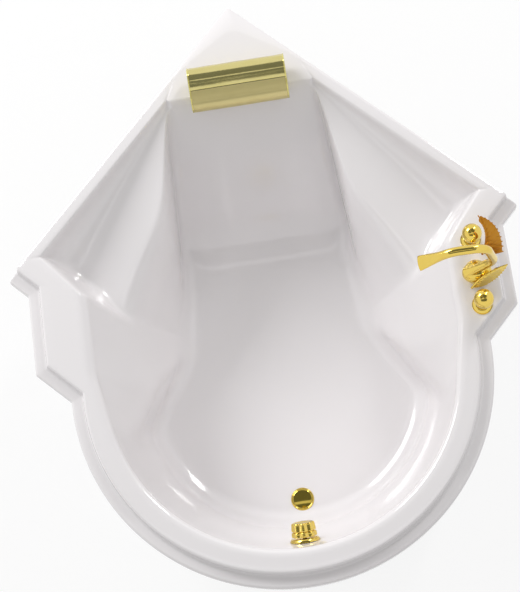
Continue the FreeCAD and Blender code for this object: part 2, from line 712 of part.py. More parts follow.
def cradle_screws():
    screws = []
    for shank in rail_screw_rods(0.0):
        foot = shank.BoundBox.Center
        head = rod(Vector(foot.x, foot.y, RIM_HEIGHT - RAIL_UNDER - SCREW_HEAD), UP,
                   SCREW_HEAD_RADIUS, SCREW_HEAD)
        screws.append(shank.fuse(head).removeSplitter())
    return Part.makeCompound(screws)


def rail_legs():
    """Plan points of the legs that stand in the rails."""
    return [(side * (half - FOOT_INSET), back) for back, half in RAILS.values() for side in (-1.0, 1.0)]


def cradle_rail(back, half):
    depth = RAIL_WIDTH / 2.0
    rail = plan_box(-half, half, back - depth, back + depth, BOARD_UNDER, RAIL_UNDER)
    inner = depth - RAIL_SHEET
    rail = rail.cut(plan_box(-half - 1.0, half + 1.0, back - inner, back + inner,
                             BOARD_UNDER + RAIL_SHEET, RAIL_UNDER - RAIL_SHEET))
    drills = rail_screw_rods(FIT_CLEAR)
    for x, leg_back in rail_legs():
        drills.append(rod(spot(x, leg_back, RAIL_UNDER + 1.0), UP, STUD_RADIUS + SEAT_CLEAR,
                          RAIL_HEIGHT + 2.0))
    return rail.cut(drills)


def nut(x, back, height, flats, bore, thick):
    """Hexagon nut, its underside at a height above the ground."""
    base = Vector(x, CORNER_Y - back, height)
    return hexagon(base, UP, flats, thick).cut(rod(base, UP, bore, thick))


RAIL_TOP = RIM_HEIGHT - BOARD_UNDER
RAIL_FOOT = RIM_HEIGHT - RAIL_UNDER
LEG_PLATE_THICK = 3.0
LEG_PLATE_RADIUS = 30.0


def leg_studs():
    studs = []
    for x, back in rail_legs():
        foot = Vector(x, CORNER_Y - back, PAD_FLOOR)
        studs.append(rod(foot, UP, STUD_RADIUS, RAIL_TOP + STUD_TOP - PAD_FLOOR))
    foot = Vector(0, CORNER_Y - CENTRE_LEG_BACK, PAD_FLOOR)
    studs.append(rod(foot, UP, STUD_RADIUS, RAIL_TOP - SEAT_CLEAR - PAD_FLOOR))
    return Part.makeCompound(studs)


def leg_nuts():
    bore = STUD_RADIUS + FIT_CLEAR
    nuts = []
    for x, back in rail_legs():
        nuts.append(nut(x, back, RAIL_TOP, NUT_FLATS, bore, NUT_HEIGHT))
        nuts.append(nut(x, back, RAIL_FOOT - NUT_HEIGHT, NUT_FLATS, bore, NUT_HEIGHT))
    under_plate = RAIL_TOP - LEG_PLATE_THICK - NUT_HEIGHT
    nuts.append(nut(0.0, CENTRE_LEG_BACK, under_plate, NUT_FLATS, bore, NUT_HEIGHT))
    return Part.makeCompound(nuts)


def centre_leg_plate():
    return ring(Vector(0, CORNER_Y - CENTRE_LEG_BACK, RAIL_TOP - LEG_PLATE_THICK), UP,
                LEG_PLATE_RADIUS, STUD_RADIUS + FIT_CLEAR, LEG_PLATE_THICK)


def foot_pads():
    pads = []
    for x, back in rail_legs() + [(0.0, CENTRE_LEG_BACK)]:
        base = Vector(x, CORNER_Y - back, 0)
        lower = rod(base, UP, PAD_RADIUS, PAD_FLOOR)
        upper = Part.makeCone(PAD_RADIUS, PAD_RADIUS / 2.0, PAD_HEIGHT - PAD_FLOOR, base + UP * PAD_FLOOR)
        socket = rod(base + UP * PAD_FLOOR, UP, STUD_RADIUS + FIT_CLEAR, PAD_HEIGHT)
        pads.append(lower.fuse(upper).removeSplitter().cut(socket))
    return Part.makeCompound(pads)


# -------------------------------------------------------------------- taps
BOARD_BOTTOM = DECK_UNDER + BOARD_THICK
VALVE_LEVEL = SHANK_DEPTH + VALVE_HEIGHT / 2.0


def mixer_body(back, port_directions):
    """Round body under a shank, with side ports level with one another."""
    foot = spot(TAP_X, back, SHANK_DEPTH + VALVE_HEIGHT)
    body = rod(foot, UP, VALVE_RADIUS, VALVE_HEIGHT)
    middle = spot(TAP_X, back, VALVE_LEVEL)
    for direction in port_directions:
        body = body.fuse(rod(middle, Vector(0, direction, 0), PORT_RADIUS, VALVE_RADIUS + PORT_LENGTH))
    return body


def valve(back):
    """Tap valve: threaded shank, body, side outlet and inlet tail."""
    towards_spout = 1.0 if back > SPOUT_BACK else -1.0
    shank = rod(spot(TAP_X, back, SHANK_DEPTH), UP, SHANK_RADIUS, SHANK_DEPTH + COLLAR_HEIGHT - HOLE_CLEAR)
    tail_foot = spot(TAP_X, back, SHANK_DEPTH + VALVE_HEIGHT + INLET_LENGTH)
    tail = rod(tail_foot, UP, INLET_RADIUS, INLET_LENGTH)
    body = mixer_body(back, [towards_spout]).fuse([shank, tail]).removeSplitter()
    socket = rod(spot(TAP_X, back, SPINDLE_SOCKET), UP, SPINDLE_RADIUS + FIT_CLEAR, 2 * SHANK_DEPTH)
    waterway = rod(tail_foot, UP, INLET_BORE_RADIUS, INLET_LENGTH + VALVE_HEIGHT / 2.0)
    outlet_end = spot(TAP_X, back, VALVE_LEVEL)
    outlet = rod(outlet_end, Vector(0, towards_spout, 0), LINK_BORE_RADIUS, VALVE_RADIUS + PORT_LENGTH)
    return body.cut([socket, waterway, outlet])


def spout_tee():
    body = mixer_body(SPOUT_BACK, [1.0, -1.0])
    bores = []
    for direction in (1.0, -1.0):
        bores.append(rod(spot(TAP_X, SPOUT_BACK, VALVE_LEVEL), Vector(0, direction, 0),
                         LINK_BORE_RADIUS, VALVE_RADIUS + PORT_LENGTH))
    return body.cut(bores)


def link_pipe(back):
    """Short pipe between a valve's outlet and the tee under the spout."""
    towards_spout = 1.0 if back > SPOUT_BACK else -1.0
    port = VALVE_RADIUS + PORT_LENGTH
    start = spot(TAP_X, back, VALVE_LEVEL) + Vector(0, towards_spout * port, 0)
    length = abs(back - SPOUT_BACK) - 2 * port
    return ring(start, Vector(0, towards_spout, 0), PORT_RADIUS, LINK_BORE_RADIUS, length)


def washer(back):
    return ring(spot(TAP_X, back, BOARD_BOTTOM + WASHER_THICK), UP, WASHER_RADIUS,
                SHANK_RADIUS + FIT_CLEAR, WASHER_THICK)


def backnut(back):
    top = BOARD_BOTTOM + WASHER_THICK
    height = RIM_HEIGHT - top - BACKNUT_HEIGHT
    return nut(TAP_X, back, height, BACKNUT_FLATS, SHANK_RADIUS + FIT_CLEAR, BACKNUT_HEIGHT)


def collar(back):
    """Stepped collar that covers a valve's hole in the deck."""
    base = spot(TAP_X, back, 0)
    step = rod(base, UP, COLLAR_RADIUS, COLLAR_STEP)
    dome = Part.makeCone(COLLAR_RADIUS - COLLAR_STEP, KNOB_FOOT_RADIUS + COLLAR_STEP,
                         COLLAR_HEIGHT - COLLAR_STEP, base + UP * COLLAR_STEP)
    return step.fuse(dome).cut(rod(base, UP, SHANK_RADIUS + FIT_CLEAR, COLLAR_HEIGHT))


KNOB_TOP = KNOB_HEIGHT + KNOB_RADIUS - HOLE_CLEAR
GRIP_TOP = KNOB_HEIGHT - KNOB_RADIUS + SPINDLE_GRIP


def ball_knob(back):
    ball = Part.makeSphere(KNOB_RADIUS, spot(TAP_X, back, -KNOB_HEIGHT))
    foot = spot(TAP_X, back, -KNOB_NECK_FOOT)
    neck = rod(foot, UP, KNOB_NECK_RADIUS, KNOB_HEIGHT - KNOB_NECK_FOOT)
    flange = rod(foot, UP, KNOB_FOOT_RADIUS, KNOB_FOOT_HEIGHT)
    seat = rod(spot(TAP_X, back, KNOB_CAP_HEIGHT - KNOB_TOP), UP, KNOB_CAP_RADIUS + FIT_CLEAR, KNOB_RADIUS)
    socket = rod(foot, UP, SPINDLE_RADIUS + FIT_CLEAR, GRIP_TOP - KNOB_NECK_FOOT)
    return ball.fuse([neck, flange]).removeSplitter().cut([seat, socket])


def knob_cap(back):
    seat = spot(TAP_X, back, KNOB_CAP_HEIGHT - KNOB_TOP)
    return rod(seat, UP, KNOB_CAP_RADIUS, KNOB_CAP_HEIGHT + HOLE_CLEAR)


def tap_spindle(back):
    length = SPINDLE_SOCKET + GRIP_TOP - SEAT_CLEAR
    return rod(spot(TAP_X, back, SPINDLE_SOCKET - SEAT_CLEAR), UP, SPINDLE_RADIUS, length)


# --------------------------------------------------------------- the spout
def ahead(x, height, front=0.0):
    """Point in the spout's upright plane, or some way in front of it."""
    return spot(x, SPOUT_BACK + front, -height)


def spout_base():
    base = rod(spot(TAP_X, SPOUT_BACK, 0), UP, SPOUT_BASE_RADIUS, SPOUT_BASE_HEIGHT)
    shank = rod(spot(TAP_X, SPOUT_BACK, SHANK_DEPTH), UP, SHANK_RADIUS, SHANK_DEPTH)
    return base.fuse(shank).removeSplitter()


def bird_body():
    """Smooth egg-shaped body, flat where it stands on its base."""
    ball = Part.makeSphere(1.0)
    grow = FreeCAD.Matrix()
    grow.A11, grow.A22, grow.A33 = BODY_LENGTH / 2.0, BODY_WIDTH / 2.0, BODY_HEIGHT / 2.0
    middle = ahead(TAP_X - BODY_SET, SPOUT_BASE_HEIGHT + BODY_HEIGHT * 0.36, BODY_AHEAD)
    grow.A14, grow.A24, grow.A34 = middle.x, middle.y, middle.z
    egg = ball.transformGeometry(grow)
    floor = Part.makeBox(2 * BODY_LENGTH, 2 * BODY_LENGTH, BODY_LENGTH)
    floor.translate(ahead(TAP_X, SPOUT_BASE_HEIGHT) - Vector(BODY_LENGTH, BODY_LENGTH, BODY_LENGTH))
    return egg.cut(floor)


NECK_ROUTE = [(-29.0, 40.0), (41.0, 124.0), (8.0, 266.0), (-81.0, 272.0), (-142.0, 229.0)]
NECK_BENDS = [0.0, 58.0, 52.0, 60.0, 0.0]


def ellipse_wire(centre, half_width, half_thick, along):
    across = Vector(0, 1, 0)
    thick = across.cross(along).normalize()
    curve = Part.Ellipse(centre + across * half_width, centre + thick * half_thick, centre)
    return Part.Wire([curve.toShape()])


def spout_neck():
    """Neck that rises from the body, arches over and ends in a flat bill."""
    route = [ahead(TAP_X + x, h) for x, h in NECK_ROUTE]
    tip = route[-1]
    along = (tip - route[-2]).normalize()
    neck = swept(route, NECK_BENDS, NECK_RADIUS)
    end = tip + along * BEAK_LENGTH
    round_end = Part.Wire([Part.Circle(tip, along, NECK_RADIUS).toShape()])
    bill_end = ellipse_wire(end, BEAK_HALF_WIDTH, BEAK_HALF_THICK, along)
    bill = Part.makeLoft([round_end, bill_end], True, True)
    inner = end - along * BEAK_BORE_DEPTH
    narrow = ellipse_wire(inner, NECK_RADIUS * BEAK_BORE_SHARE, BEAK_HALF_THICK * BEAK_BORE_SHARE, along)
    wide = ellipse_wire(end + along, BEAK_HALF_WIDTH * 0.9, BEAK_HALF_THICK * BEAK_BORE_SHARE, along)
    mouth = Part.makeLoft([narrow, wide], True, True)
    return neck.fuse(bill).cut(bird_body()).cut(mouth)


def curve_point(start, pull, end, share):
    """Point on the curve that starts and ends at two points and is pulled by a third."""
    keep = 1.0 - share
    return tuple(keep * keep * a + 2 * share * keep * b + share * share * c
                 for a, b, c in zip(start, pull, end))


def feathered(start, pull, end, count, tip):
    """Curve with a saw edge of feather tips on its outer side."""
    points = []
    for k in range(count):
        x0, s0 = curve_point(start, pull, end, k / count)
        x1, s1 = curve_point(start, pull, end, (k + 0.8) / count)
        span = math.hypot(x1 - x0, s1 - s0)
        points.append((x0, s0))
        points.append((x1 - tip * (s1 - s0) / span, s1 + tip * (x1 - x0) / span))
    return points + [end]


def smooth(start, pull, end, count):
    return [curve_point(start, pull, end, k / count) for k in range(1, count)]


def wing(outline, origin, across, rise):
    """Plate of feathers on a plane through origin that holds two directions."""
    points = [origin + across * x + rise * s for x, s in outline]
    face = Part.Face(Part.makePolygon(points + points[:1]))
    normal = across.cross(rise).normalize()
    plate = face.extrude(normal * WING_THICK)
    plate.translate(normal * (-WING_THICK / 2.0))
    return plate.cut(bird_body())


def raised_wing():
    tip, root_back, root_front = (9.0, 162.0), (77.0, 2.0), (16.0, 12.0)
    outline = feathered(tip, (81.0, 122.0), root_back, FEATHER_COUNT, FEATHER_TIP)
    outline += [(40.0, -36.0), (0.0, -36.0), root_front]
    outline += smooth(root_front, (46.0, 88.0), tip, 8)
    lean = math.radians(WING_LEAN)
    origin = ahead(TAP_X, WING_ROOT_HEIGHT, -WING_ROOT_OUT)
    return wing(outline, origin, Vector(1, 0, 0), Vector(0, math.sin(lean), math.cos(lean)))


def folded_wing():
    breast, low, tip = (-35.0, 10.0), (20.0, 0.0), (84.0, 72.0)
    outline = feathered(tip, (66.0, 10.0), low, FEATHER_COUNT, FEATHER_TIP)
    outline += smooth(low, (-16.0, -2.0), breast, 4) + [breast]
    outline += smooth(breast, (9.0, 78.0), tip, 8)
    lean = math.radians(FOLDED_WING_LEAN)
    turn = math.radians(FOLDED_WING_TURN)
    origin = ahead(TAP_X, FOLDED_WING_HEIGHT, FOLDED_WING_OUT)
    return wing(outline, origin, Vector(math.cos(turn), math.sin(turn), 0),
                Vector(0, math.sin(lean), math.cos(lean)))


# ------------------------------------------------------ waste and overflow
FLOOR_TOP = spot(0, WASTE_BACK, BASIN_DEPTH)
DISH_FLOOR = FLANGE_THICK - FLANGE_DISH_DEPTH
PLUG_FOOT = DISH_FLOOR + SEAL_THICK
BODY_TOP = SHEET + GASKET_THICK


def waste_flange():
    tube = rod(FLOOR_TOP - UP * FLANGE_TUBE_LENGTH, UP, FLANGE_TUBE_RADIUS, FLANGE_TUBE_LENGTH)
    top = rod(FLOOR_TOP, UP, FLANGE_RADIUS, FLANGE_THICK)
    dish = rod(FLOOR_TOP + UP * DISH_FLOOR, UP, FLANGE_DISH_RADIUS, FLANGE_THICK)
    bore = rod(FLOOR_TOP - UP * FLANGE_TUBE_LENGTH, UP, FLANGE_BORE_RADIUS, 2 * FLANGE_TUBE_LENGTH)
    shell = tube.fuse(top).cut([dish, bore])
    foot = FLOOR_TOP - UP * FLANGE_TUBE_LENGTH
    guide = rod(foot, UP, GUIDE_RADIUS, GUIDE_LENGTH)
    for k in range(3):
        rib = Part.makeBox(FLANGE_BORE_RADIUS + HOLE_CLEAR, GUIDE_RIB, GUIDE_LENGTH,
                           Vector(0, -GUIDE_RIB / 2.0, 0))
        rib.rotate(Vector(0, 0, 0), UP, 90.0 + 120.0 * k)
        rib.translate(foot)
        guide = guide.fuse(rib)
    return shell.fuse(guide).cut(rod(foot, UP, STEM_RADIUS + FIT_CLEAR, GUIDE_LENGTH))


def waste_plug():
    """Domed plug that drops into the flange's dish."""
    foot = FLOOR_TOP + UP * PLUG_FOOT
    dome_radius = (PLUG_RADIUS ** 2 + PLUG_CROWN ** 2) / (2 * PLUG_CROWN)
    height = PLUG_EDGE + PLUG_CROWN
    dome = Part.makeSphere(dome_radius, foot + UP * (height - dome_radius))
    return rod(foot, UP, PLUG_RADIUS, height).common(dome)


def plug_stem():
    return rod(FLOOR_TOP + UP * (PLUG_FOOT - STEM_LENGTH), UP, STEM_RADIUS, STEM_LENGTH)


def plug_seal():
    return ring(FLOOR_TOP + UP * DISH_FLOOR, UP, SEAL_RADIUS, SEAL_BORE_RADIUS, SEAL_THICK)


def waste_gasket():
    return ring(FLOOR_TOP - UP * BODY_TOP, UP, WASTE_TOP_RADIUS, WASTE_HOLE_RADIUS, GASKET_THICK)


def waste_body():
    """Cup under the floor, with the trap outlet and a port for the overflow pipe."""
    top = FLOOR_TOP - UP * (BODY_TOP + WASTE_TOP_THICK)
    bottom = FLOOR_TOP - UP * (BODY_TOP + WASTE_BODY_DEPTH)
    front = Vector(0, -1, 0)
    pipe_centre = spot(0, WASTE_BACK, PIPE_DROP)
    stub_centre = spot(0, WASTE_BACK, CABLE_DROP)
    body = rod(top, UP, WASTE_TOP_RADIUS, WASTE_TOP_THICK)
    body = body.fuse([rod(bottom, UP, WASTE_BODY_RADIUS, WASTE_BODY_DEPTH - WASTE_TOP_THICK),
                      rod(bottom - UP * OUTLET_LENGTH, UP, OUTLET_RADIUS, OUTLET_LENGTH),
                      rod(pipe_centre, front, PIPE_RADIUS, WASTE_BODY_RADIUS + PIPE_PORT),
                      rod(stub_centre, Vector(1, 0, 0), CABLE_STUB_RADIUS, CABLE_OFFSET + CABLE_STUB_RADIUS),
                      rod(stub_centre + Vector(CABLE_OFFSET, 0, 0), front, CABLE_PORT_RADIUS,
                          CABLE_PORT_LENGTH)])
    threads = FLANGE_TUBE_LENGTH + HOLE_CLEAR
    room = rod(bottom + UP * WASTE_WALL, UP, WASTE_BODY_RADIUS - WASTE_WALL,
               BODY_TOP + WASTE_BODY_DEPTH - WASTE_WALL - threads)
    return body.removeSplitter().cut([
        rod(FLOOR_TOP - UP * threads, UP, FLANGE_TUBE_RADIUS + FIT_CLEAR, threads), room,
        rod(bottom - UP * OUTLET_LENGTH, UP, OUTLET_BORE_RADIUS, OUTLET_LENGTH + WASTE_WALL),
        rod(pipe_centre, front, PIPE_RADIUS - PIPE_WALL, WASTE_BODY_RADIUS + PIPE_PORT)])


def overflow_frame():
    """Centre of the overflow hole on the inner wall, and the normal inwards."""
    upper = basin_level(0.0)
    lower = basin_level(ELBOW_DROP)
    run = upper[-2] + upper[-1] - lower[-2] - lower[-1]
    lean = math.atan(run / ELBOW_DROP)
    level = basin_level(OVERFLOW_DROP)
    return spot(0, level[-2] + level[-1], OVERFLOW_DROP), Vector(0, math.cos(lean), math.sin(lean))


HOLE_CENTRE, INWARDS = overflow_frame()
GASKET_FACE = WALL_SHEET + SEAT_CLEAR
PLATE_FACE = GASKET_FACE + GASKET_THICK
PORT_ALONG = PLATE_FACE + ELBOW_PLATE + ELBOW_DEPTH / 2.0
CONTROL_START = WALL_CURVE_CLEAR + ESCUTCHEON_THICK + CONTROL_FOOT


def along_normal(distance):
    """Point on the overflow's axis, positive into the bath."""
    return HOLE_CENTRE + INWARDS * distance


def overflow_faceplate():
    foot = along_normal(WALL_CURVE_CLEAR)
    disc = Part.makeCone(ESCUTCHEON_RADIUS, ESCUTCHEON_RADIUS - ESCUTCHEON_THICK / 2.0,
                         ESCUTCHEON_THICK, foot, INWARDS)
    tail_end = along_normal(-PLATE_FACE - ELBOW_PLATE)
    tail_length = WALL_CURVE_CLEAR + PLATE_FACE + ELBOW_PLATE
    tail = rod(tail_end, INWARDS, ELBOW_BORE_RADIUS - FIT_CLEAR, tail_length)
    bore = rod(tail_end, INWARDS, ELBOW_BORE_RADIUS - SHEET / 2.0, tail_length)
    drills = [rod(foot, INWARDS, CONTROL_SPINDLE_RADIUS + FIT_CLEAR, ESCUTCHEON_THICK)]
    across = Vector(1, 0, 0)
    up_wall = INWARDS.cross(across)
    for k in range(DRAIN_HOLES):
        turn = 2 * math.pi * k / DRAIN_HOLES
        offset = across * (DRAIN_HOLE_RING * math.cos(turn)) + up_wall * (DRAIN_HOLE_RING * math.sin(turn))
        drills.append(rod(foot + offset, INWARDS, DRAIN_HOLE_RADIUS, ESCUTCHEON_THICK))
    return disc.fuse(tail).cut([bore] + drills)


def overflow_knob():
    """Tapered knob with a fluted rim."""
    foot = along_normal(CONTROL_START)
    body = Part.makeCone(CONTROL_RADIUS, CONTROL_END_RADIUS, CONTROL_LENGTH, foot, INWARDS)
    across = Vector(1, 0, 0)
    up_wall = INWARDS.cross(across)
    flutes = [rod(foot, INWARDS, CONTROL_SPINDLE_RADIUS + FIT_CLEAR, CONTROL_GRIP)]
    reach = CONTROL_RADIUS + LOBE_RADIUS * 0.55
    for k in range(CONTROL_LOBES):
        turn = 2 * math.pi * (k + 0.5) / CONTROL_LOBES
        offset = across * (reach * math.cos(turn)) + up_wall * (reach * math.sin(turn))
        flutes.append(rod(foot + offset, INWARDS, LOBE_RADIUS, CONTROL_LENGTH))
    return body.cut(flutes)


def overflow_spindle():
    start = along_normal(-SPINDLE_TAIL)
    length = SPINDLE_TAIL + CONTROL_START + CONTROL_GRIP - SEAT_CLEAR
    return rod(start, INWARDS, CONTROL_SPINDLE_RADIUS, length)


def overflow_crank():
    """Cam on the inner end of the spindle that pulls the plug's cable."""
    start = along_normal(-SPINDLE_TAIL)
    cam = rod(start, INWARDS, CRANK_RADIUS, CRANK_THICK)
    return cam.cut(rod(start, INWARDS, CONTROL_SPINDLE_RADIUS + FIT_CLEAR, CRANK_THICK))


def overflow_gasket():
    return ring(along_normal(-PLATE_FACE), INWARDS, ELBOW_RADIUS, OVERFLOW_HOLE_RADIUS, GASKET_THICK)


def overflow_elbow():
    """Body behind the wall, with the pipe's port and the cable's port below."""
    end = along_normal(-PLATE_FACE - ELBOW_PLATE - ELBOW_DEPTH)
    port = along_normal(-PORT_ALONG)
    side = port + Vector(CABLE_OFFSET, 0, 0)
    down = Vector(0, 0, -1)
    body = rod(along_normal(-PLATE_FACE - ELBOW_PLATE), INWARDS, ELBOW_RADIUS, ELBOW_PLATE)
    body = body.fuse([rod(end, INWARDS, ELBOW_BARREL_RADIUS, ELBOW_DEPTH),
                      rod(port, down, PIPE_RADIUS, ELBOW_PORT_DEPTH),
                      rod(port, Vector(1, 0, 0), CABLE_STUB_RADIUS, CABLE_OFFSET + CABLE_STUB_RADIUS),
                      rod(side, down, CABLE_PORT_RADIUS, CABLE_PORT_LENGTH)])
    bore = rod(end + INWARDS * WASTE_WALL, INWARDS, ELBOW_BORE_RADIUS,
               ELBOW_DEPTH + ELBOW_PLATE - WASTE_WALL)
    outlet = rod(port, down, PIPE_RADIUS - PIPE_WALL, ELBOW_PORT_DEPTH)
    return body.removeSplitter().cut([bore, outlet])


def overflow_pipe():
    port = along_normal(-PORT_ALONG)
    start = port - UP * ELBOW_PORT_DEPTH
    end = spot(0, WASTE_BACK + WASTE_BODY_RADIUS + PIPE_PORT, PIPE_DROP)
    route = [start, Vector(0, start.y, end.z), end]
    bends = [0.0, PIPE_BEND, 0.0]
    return swept(route, bends, PIPE_RADIUS).cut(swept(route, bends, PIPE_RADIUS - PIPE_WALL))


def pipe_nuts():
    port = along_normal(-PORT_ALONG)
    upper = port - UP * (ELBOW_PORT_DEPTH + PIPE_NUT_LENGTH / 2.0)
    lower = spot(0, WASTE_BACK + WASTE_BODY_RADIUS + PIPE_PORT - PIPE_NUT_LENGTH / 2.0, PIPE_DROP)
    bore = PIPE_RADIUS + FIT_CLEAR
    return Part.makeCompound([ring(upper, UP, PIPE_NUT_RADIUS, bore, PIPE_NUT_LENGTH),
                              ring(lower, Vector(0, -1, 0), PIPE_NUT_RADIUS, bore, PIPE_NUT_LENGTH)])


def control_cable():
    side = along_normal(-PORT_ALONG) + Vector(CABLE_OFFSET, 0, 0)
    start = side - UP * CABLE_PORT_LENGTH
    end = spot(CABLE_OFFSET, WASTE_BACK + CABLE_PORT_LENGTH, CABLE_DROP)
    return swept([start, Vector(start.x, start.y, end.z), end], [0.0, CABLE_BEND, 0.0], CABLE_RADIUS)


# ---------------------------------------------------------------- headrest
def round_roll(centre, along, across, radius, first, sweep):
    """Five points round a roll's circle, from one angle on through a sweep."""
    points = []
    for k in range(5):
        turn = first + sweep * k / 4.0
        points.append(centre + along * (radius * math.cos(turn)) + across * (radius * math.sin(turn)))
    return points


def pillow_section(x, scale):
    """Section of two rolls with a shallow crease on top, scaled about its middle."""
    upper = Vector(0, -PILLOW_BACK, PILLOW_HEIGHT)
    lower = Vector(0, -LOWER_ROLL_BACK, LOWER_ROLL_HEIGHT)
    gap = (lower - upper).Length
    along = (lower - upper).normalize()
    across = Vector(1, 0, 0).cross(along)
    reach = (gap ** 2 + UPPER_ROLL_RADIUS ** 2 - LOWER_ROLL_RADIUS ** 2) / (2 * gap)
    middle = upper + along * (gap / 2.0)
    upper_end = math.radians(UPPER_ROLL_END)
    lower_end = math.radians(LOWER_ROLL_END)
    upper_turn = math.acos(reach / UPPER_ROLL_RADIUS)
    lower_turn = math.acos((gap - reach) / LOWER_ROLL_RADIUS)
    full = 2 * math.pi
    corners = round_roll(upper, along, across, UPPER_ROLL_RADIUS, upper_turn, full - upper_turn - upper_end)
    corners.append(middle - across * CREASE_RISE)
    corners += round_roll(lower, along, across, LOWER_ROLL_RADIUS, math.pi + lower_end,
                          full - lower_turn - lower_end)
    placed = []
    for corner in corners:
        at = middle + (corner - middle) * scale
        placed.append(spot(x, -at.y, -at.z))
    placed[-1] = placed[0]
    edges = []
    for k in range(0, len(placed) - 1, 2):
        edges.append(Part.Arc(placed[k], placed[k + 1], placed[k + 2]).toShape())
    return Part.Wire(edges)


PILLOW_PROFILE = [(1.0, 0.70), (0.985, 0.82), (0.955, 0.90), (0.90, 0.955), (0.78, 0.985), (0.5, 1.0)]


def headrest_cushion():
    sections = [(-share * PILLOW_HALF, scale) for share, scale in PILLOW_PROFILE]
    sections += [(-x, scale) for x, scale in reversed(sections)]
    return stack([pillow_section(x, scale) for x, scale in sections])


def headrest_cups():
    cups = []
    for k in range(CUP_COUNT):
        x = CUP_SPREAD * (k - (CUP_COUNT - 1) / 2.0)
        cups.append(Part.makeCone(CUP_RADIUS, CUP_RADIUS / 2.0, CUP_HEIGHT, spot(x, PILLOW_BACK, 0)))
    return Part.makeCompound(cups)


# ------------------------------------------------------------ write the nodes
def main():
    waste_drill = rod(spot(0, WASTE_BACK, FLOOR_UNDER + 1.0), UP, WASTE_HOLE_RADIUS, SHEET + 2.0)
    overflow_drill = rod(along_normal(-3 * WALL_SHEET), INWARDS, OVERFLOW_HOLE_RADIUS, 6 * WALL_SHEET)
    deck_drills = tap_holes(-1.0, DECK_UNDER + 1.0)
    save(bath_shell().cut([waste_drill, overflow_drill] + deck_drills), "bath_shell")
    board = ear_board()
    save(board.cut(tap_holes(DECK_UNDER - 1.0, BOARD_BOTTOM + 1.0)), "right_ear_board")
    save(mirrored(board), "left_ear_board")
    save(corner_board(), "corner_board")
    save(rim_batten(), "right_rim_batten")
    save(mirrored(rim_batten()), "left_rim_batten")
    save(front_panel().cut(panel_drills()), "front_panel")
    save(panel_clips(), "panel_clips")
    save(panel_screws(), "panel_screws")
    save(base_board(), "base_board")
    for name, (back, half) in RAILS.items():
        save(cradle_rail(back, half), name)
    save(cradle_screws(), "cradle_screws")
    save(leg_studs(), "leg_studs")
    save(leg_nuts(), "leg_nuts")
    save(centre_leg_plate(), "centre_leg_plate")
    save(foot_pads(), "foot_pads")
    for side, back in (("hot", HOT_BACK), ("cold", COLD_BACK)):
        save(valve(back), side + "_valve")
        save(link_pipe(back), side + "_link_pipe")
        save(washer(back), side + "_washer")
        save(backnut(back), side + "_backnut")
        save(collar(back), side + "_collar")
        save(ball_knob(back), side + "_knob")
        save(knob_cap(back), side + "_knob_cap")
        save(tap_spindle(back), side + "_spindle")
    save(spout_base(), "spout_base")
    save(washer(SPOUT_BACK), "spout_washer")
    save(backnut(SPOUT_BACK), "spout_backnut")
    save(spout_tee(), "spout_tee")
    save(bird_body(), "spout_body")
    save(spout_neck(), "spout_neck")
    save(raised_wing(), "spout_raised_wing")
    save(folded_wing(), "spout_folded_wing")
    save(waste_flange(), "waste_flange")
    save(waste_plug(), "waste_plug")
    save(plug_seal(), "waste_plug_seal")
    save(plug_stem(), "waste_plug_stem")
    save(waste_gasket(), "waste_gasket")
    save(waste_body(), "waste_body")
    save(overflow_faceplate(), "overflow_faceplate")
    save(overflow_knob(), "overflow_knob")
    save(overflow_spindle(), "overflow_spindle")
    save(overflow_crank(), "overflow_crank")
    save(overflow_gasket(), "overflow_gasket")
    save(overflow_elbow(), "overflow_elbow")
    save(overflow_pipe(), "overflow_pipe")
    save(pipe_nuts(), "overflow_pipe_nuts")
    save(control_cable(), "plug_control_cable")
    save(headrest_cushion(), "headrest_cushion")
    save(headrest_cups(), "headrest_cups")


main()
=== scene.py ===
"""Corner bath with a rounded bow front, gilt taps and a two-roll headrest.

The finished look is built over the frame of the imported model. Lengths in the
classes are millimetres, and meshes are written in metres. A plan point is
(x, back), with back measured from the corner of the walls towards the bow, and
a drop is measured down from the rim.
"""
import json
import logging
import math
from dataclasses import dataclass, field
from enum import Enum
from typing import Callable, ClassVar, Iterable, Sequence

import bmesh
import bpy
import numpy as np
from mathutils import Euler, Matrix, Vector


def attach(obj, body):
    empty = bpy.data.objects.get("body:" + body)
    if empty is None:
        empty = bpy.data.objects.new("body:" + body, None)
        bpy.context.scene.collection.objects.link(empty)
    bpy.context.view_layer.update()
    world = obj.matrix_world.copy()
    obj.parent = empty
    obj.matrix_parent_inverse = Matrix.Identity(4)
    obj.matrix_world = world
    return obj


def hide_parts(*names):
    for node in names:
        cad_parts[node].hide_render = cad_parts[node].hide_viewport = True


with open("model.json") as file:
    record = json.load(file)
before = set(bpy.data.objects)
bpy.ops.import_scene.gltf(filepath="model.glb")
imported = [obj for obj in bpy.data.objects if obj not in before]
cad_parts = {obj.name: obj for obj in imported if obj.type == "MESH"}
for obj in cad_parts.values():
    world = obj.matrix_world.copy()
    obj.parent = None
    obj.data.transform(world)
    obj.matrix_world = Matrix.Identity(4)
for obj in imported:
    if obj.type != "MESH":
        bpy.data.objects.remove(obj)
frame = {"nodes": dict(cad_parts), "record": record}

LOG = logging.getLogger("bath")
MM = 0.001
CORNER_Y = 866.928
RIM_HEIGHT = 580.0
UP = Vector((0.0, 0.0, 1.0))
FULL_TURN = 2.0 * math.pi
QUARTER_TURN = math.pi / 2.0
Plan = tuple[float, float]
Colour = tuple[float, float, float]
Placed = tuple[Vector, Matrix, Vector]


def spot(x: float, back: float, drop: float = 0.0) -> Vector:
    """Return a point of the frame.

    Args:
        x: place across the bath.
        back: distance from the walls' corner towards the bow.
        drop: depth below the rim.

    Returns:
        The point, in metres.
    """
    return Vector((x, CORNER_Y - back, RIM_HEIGHT - drop)) * MM


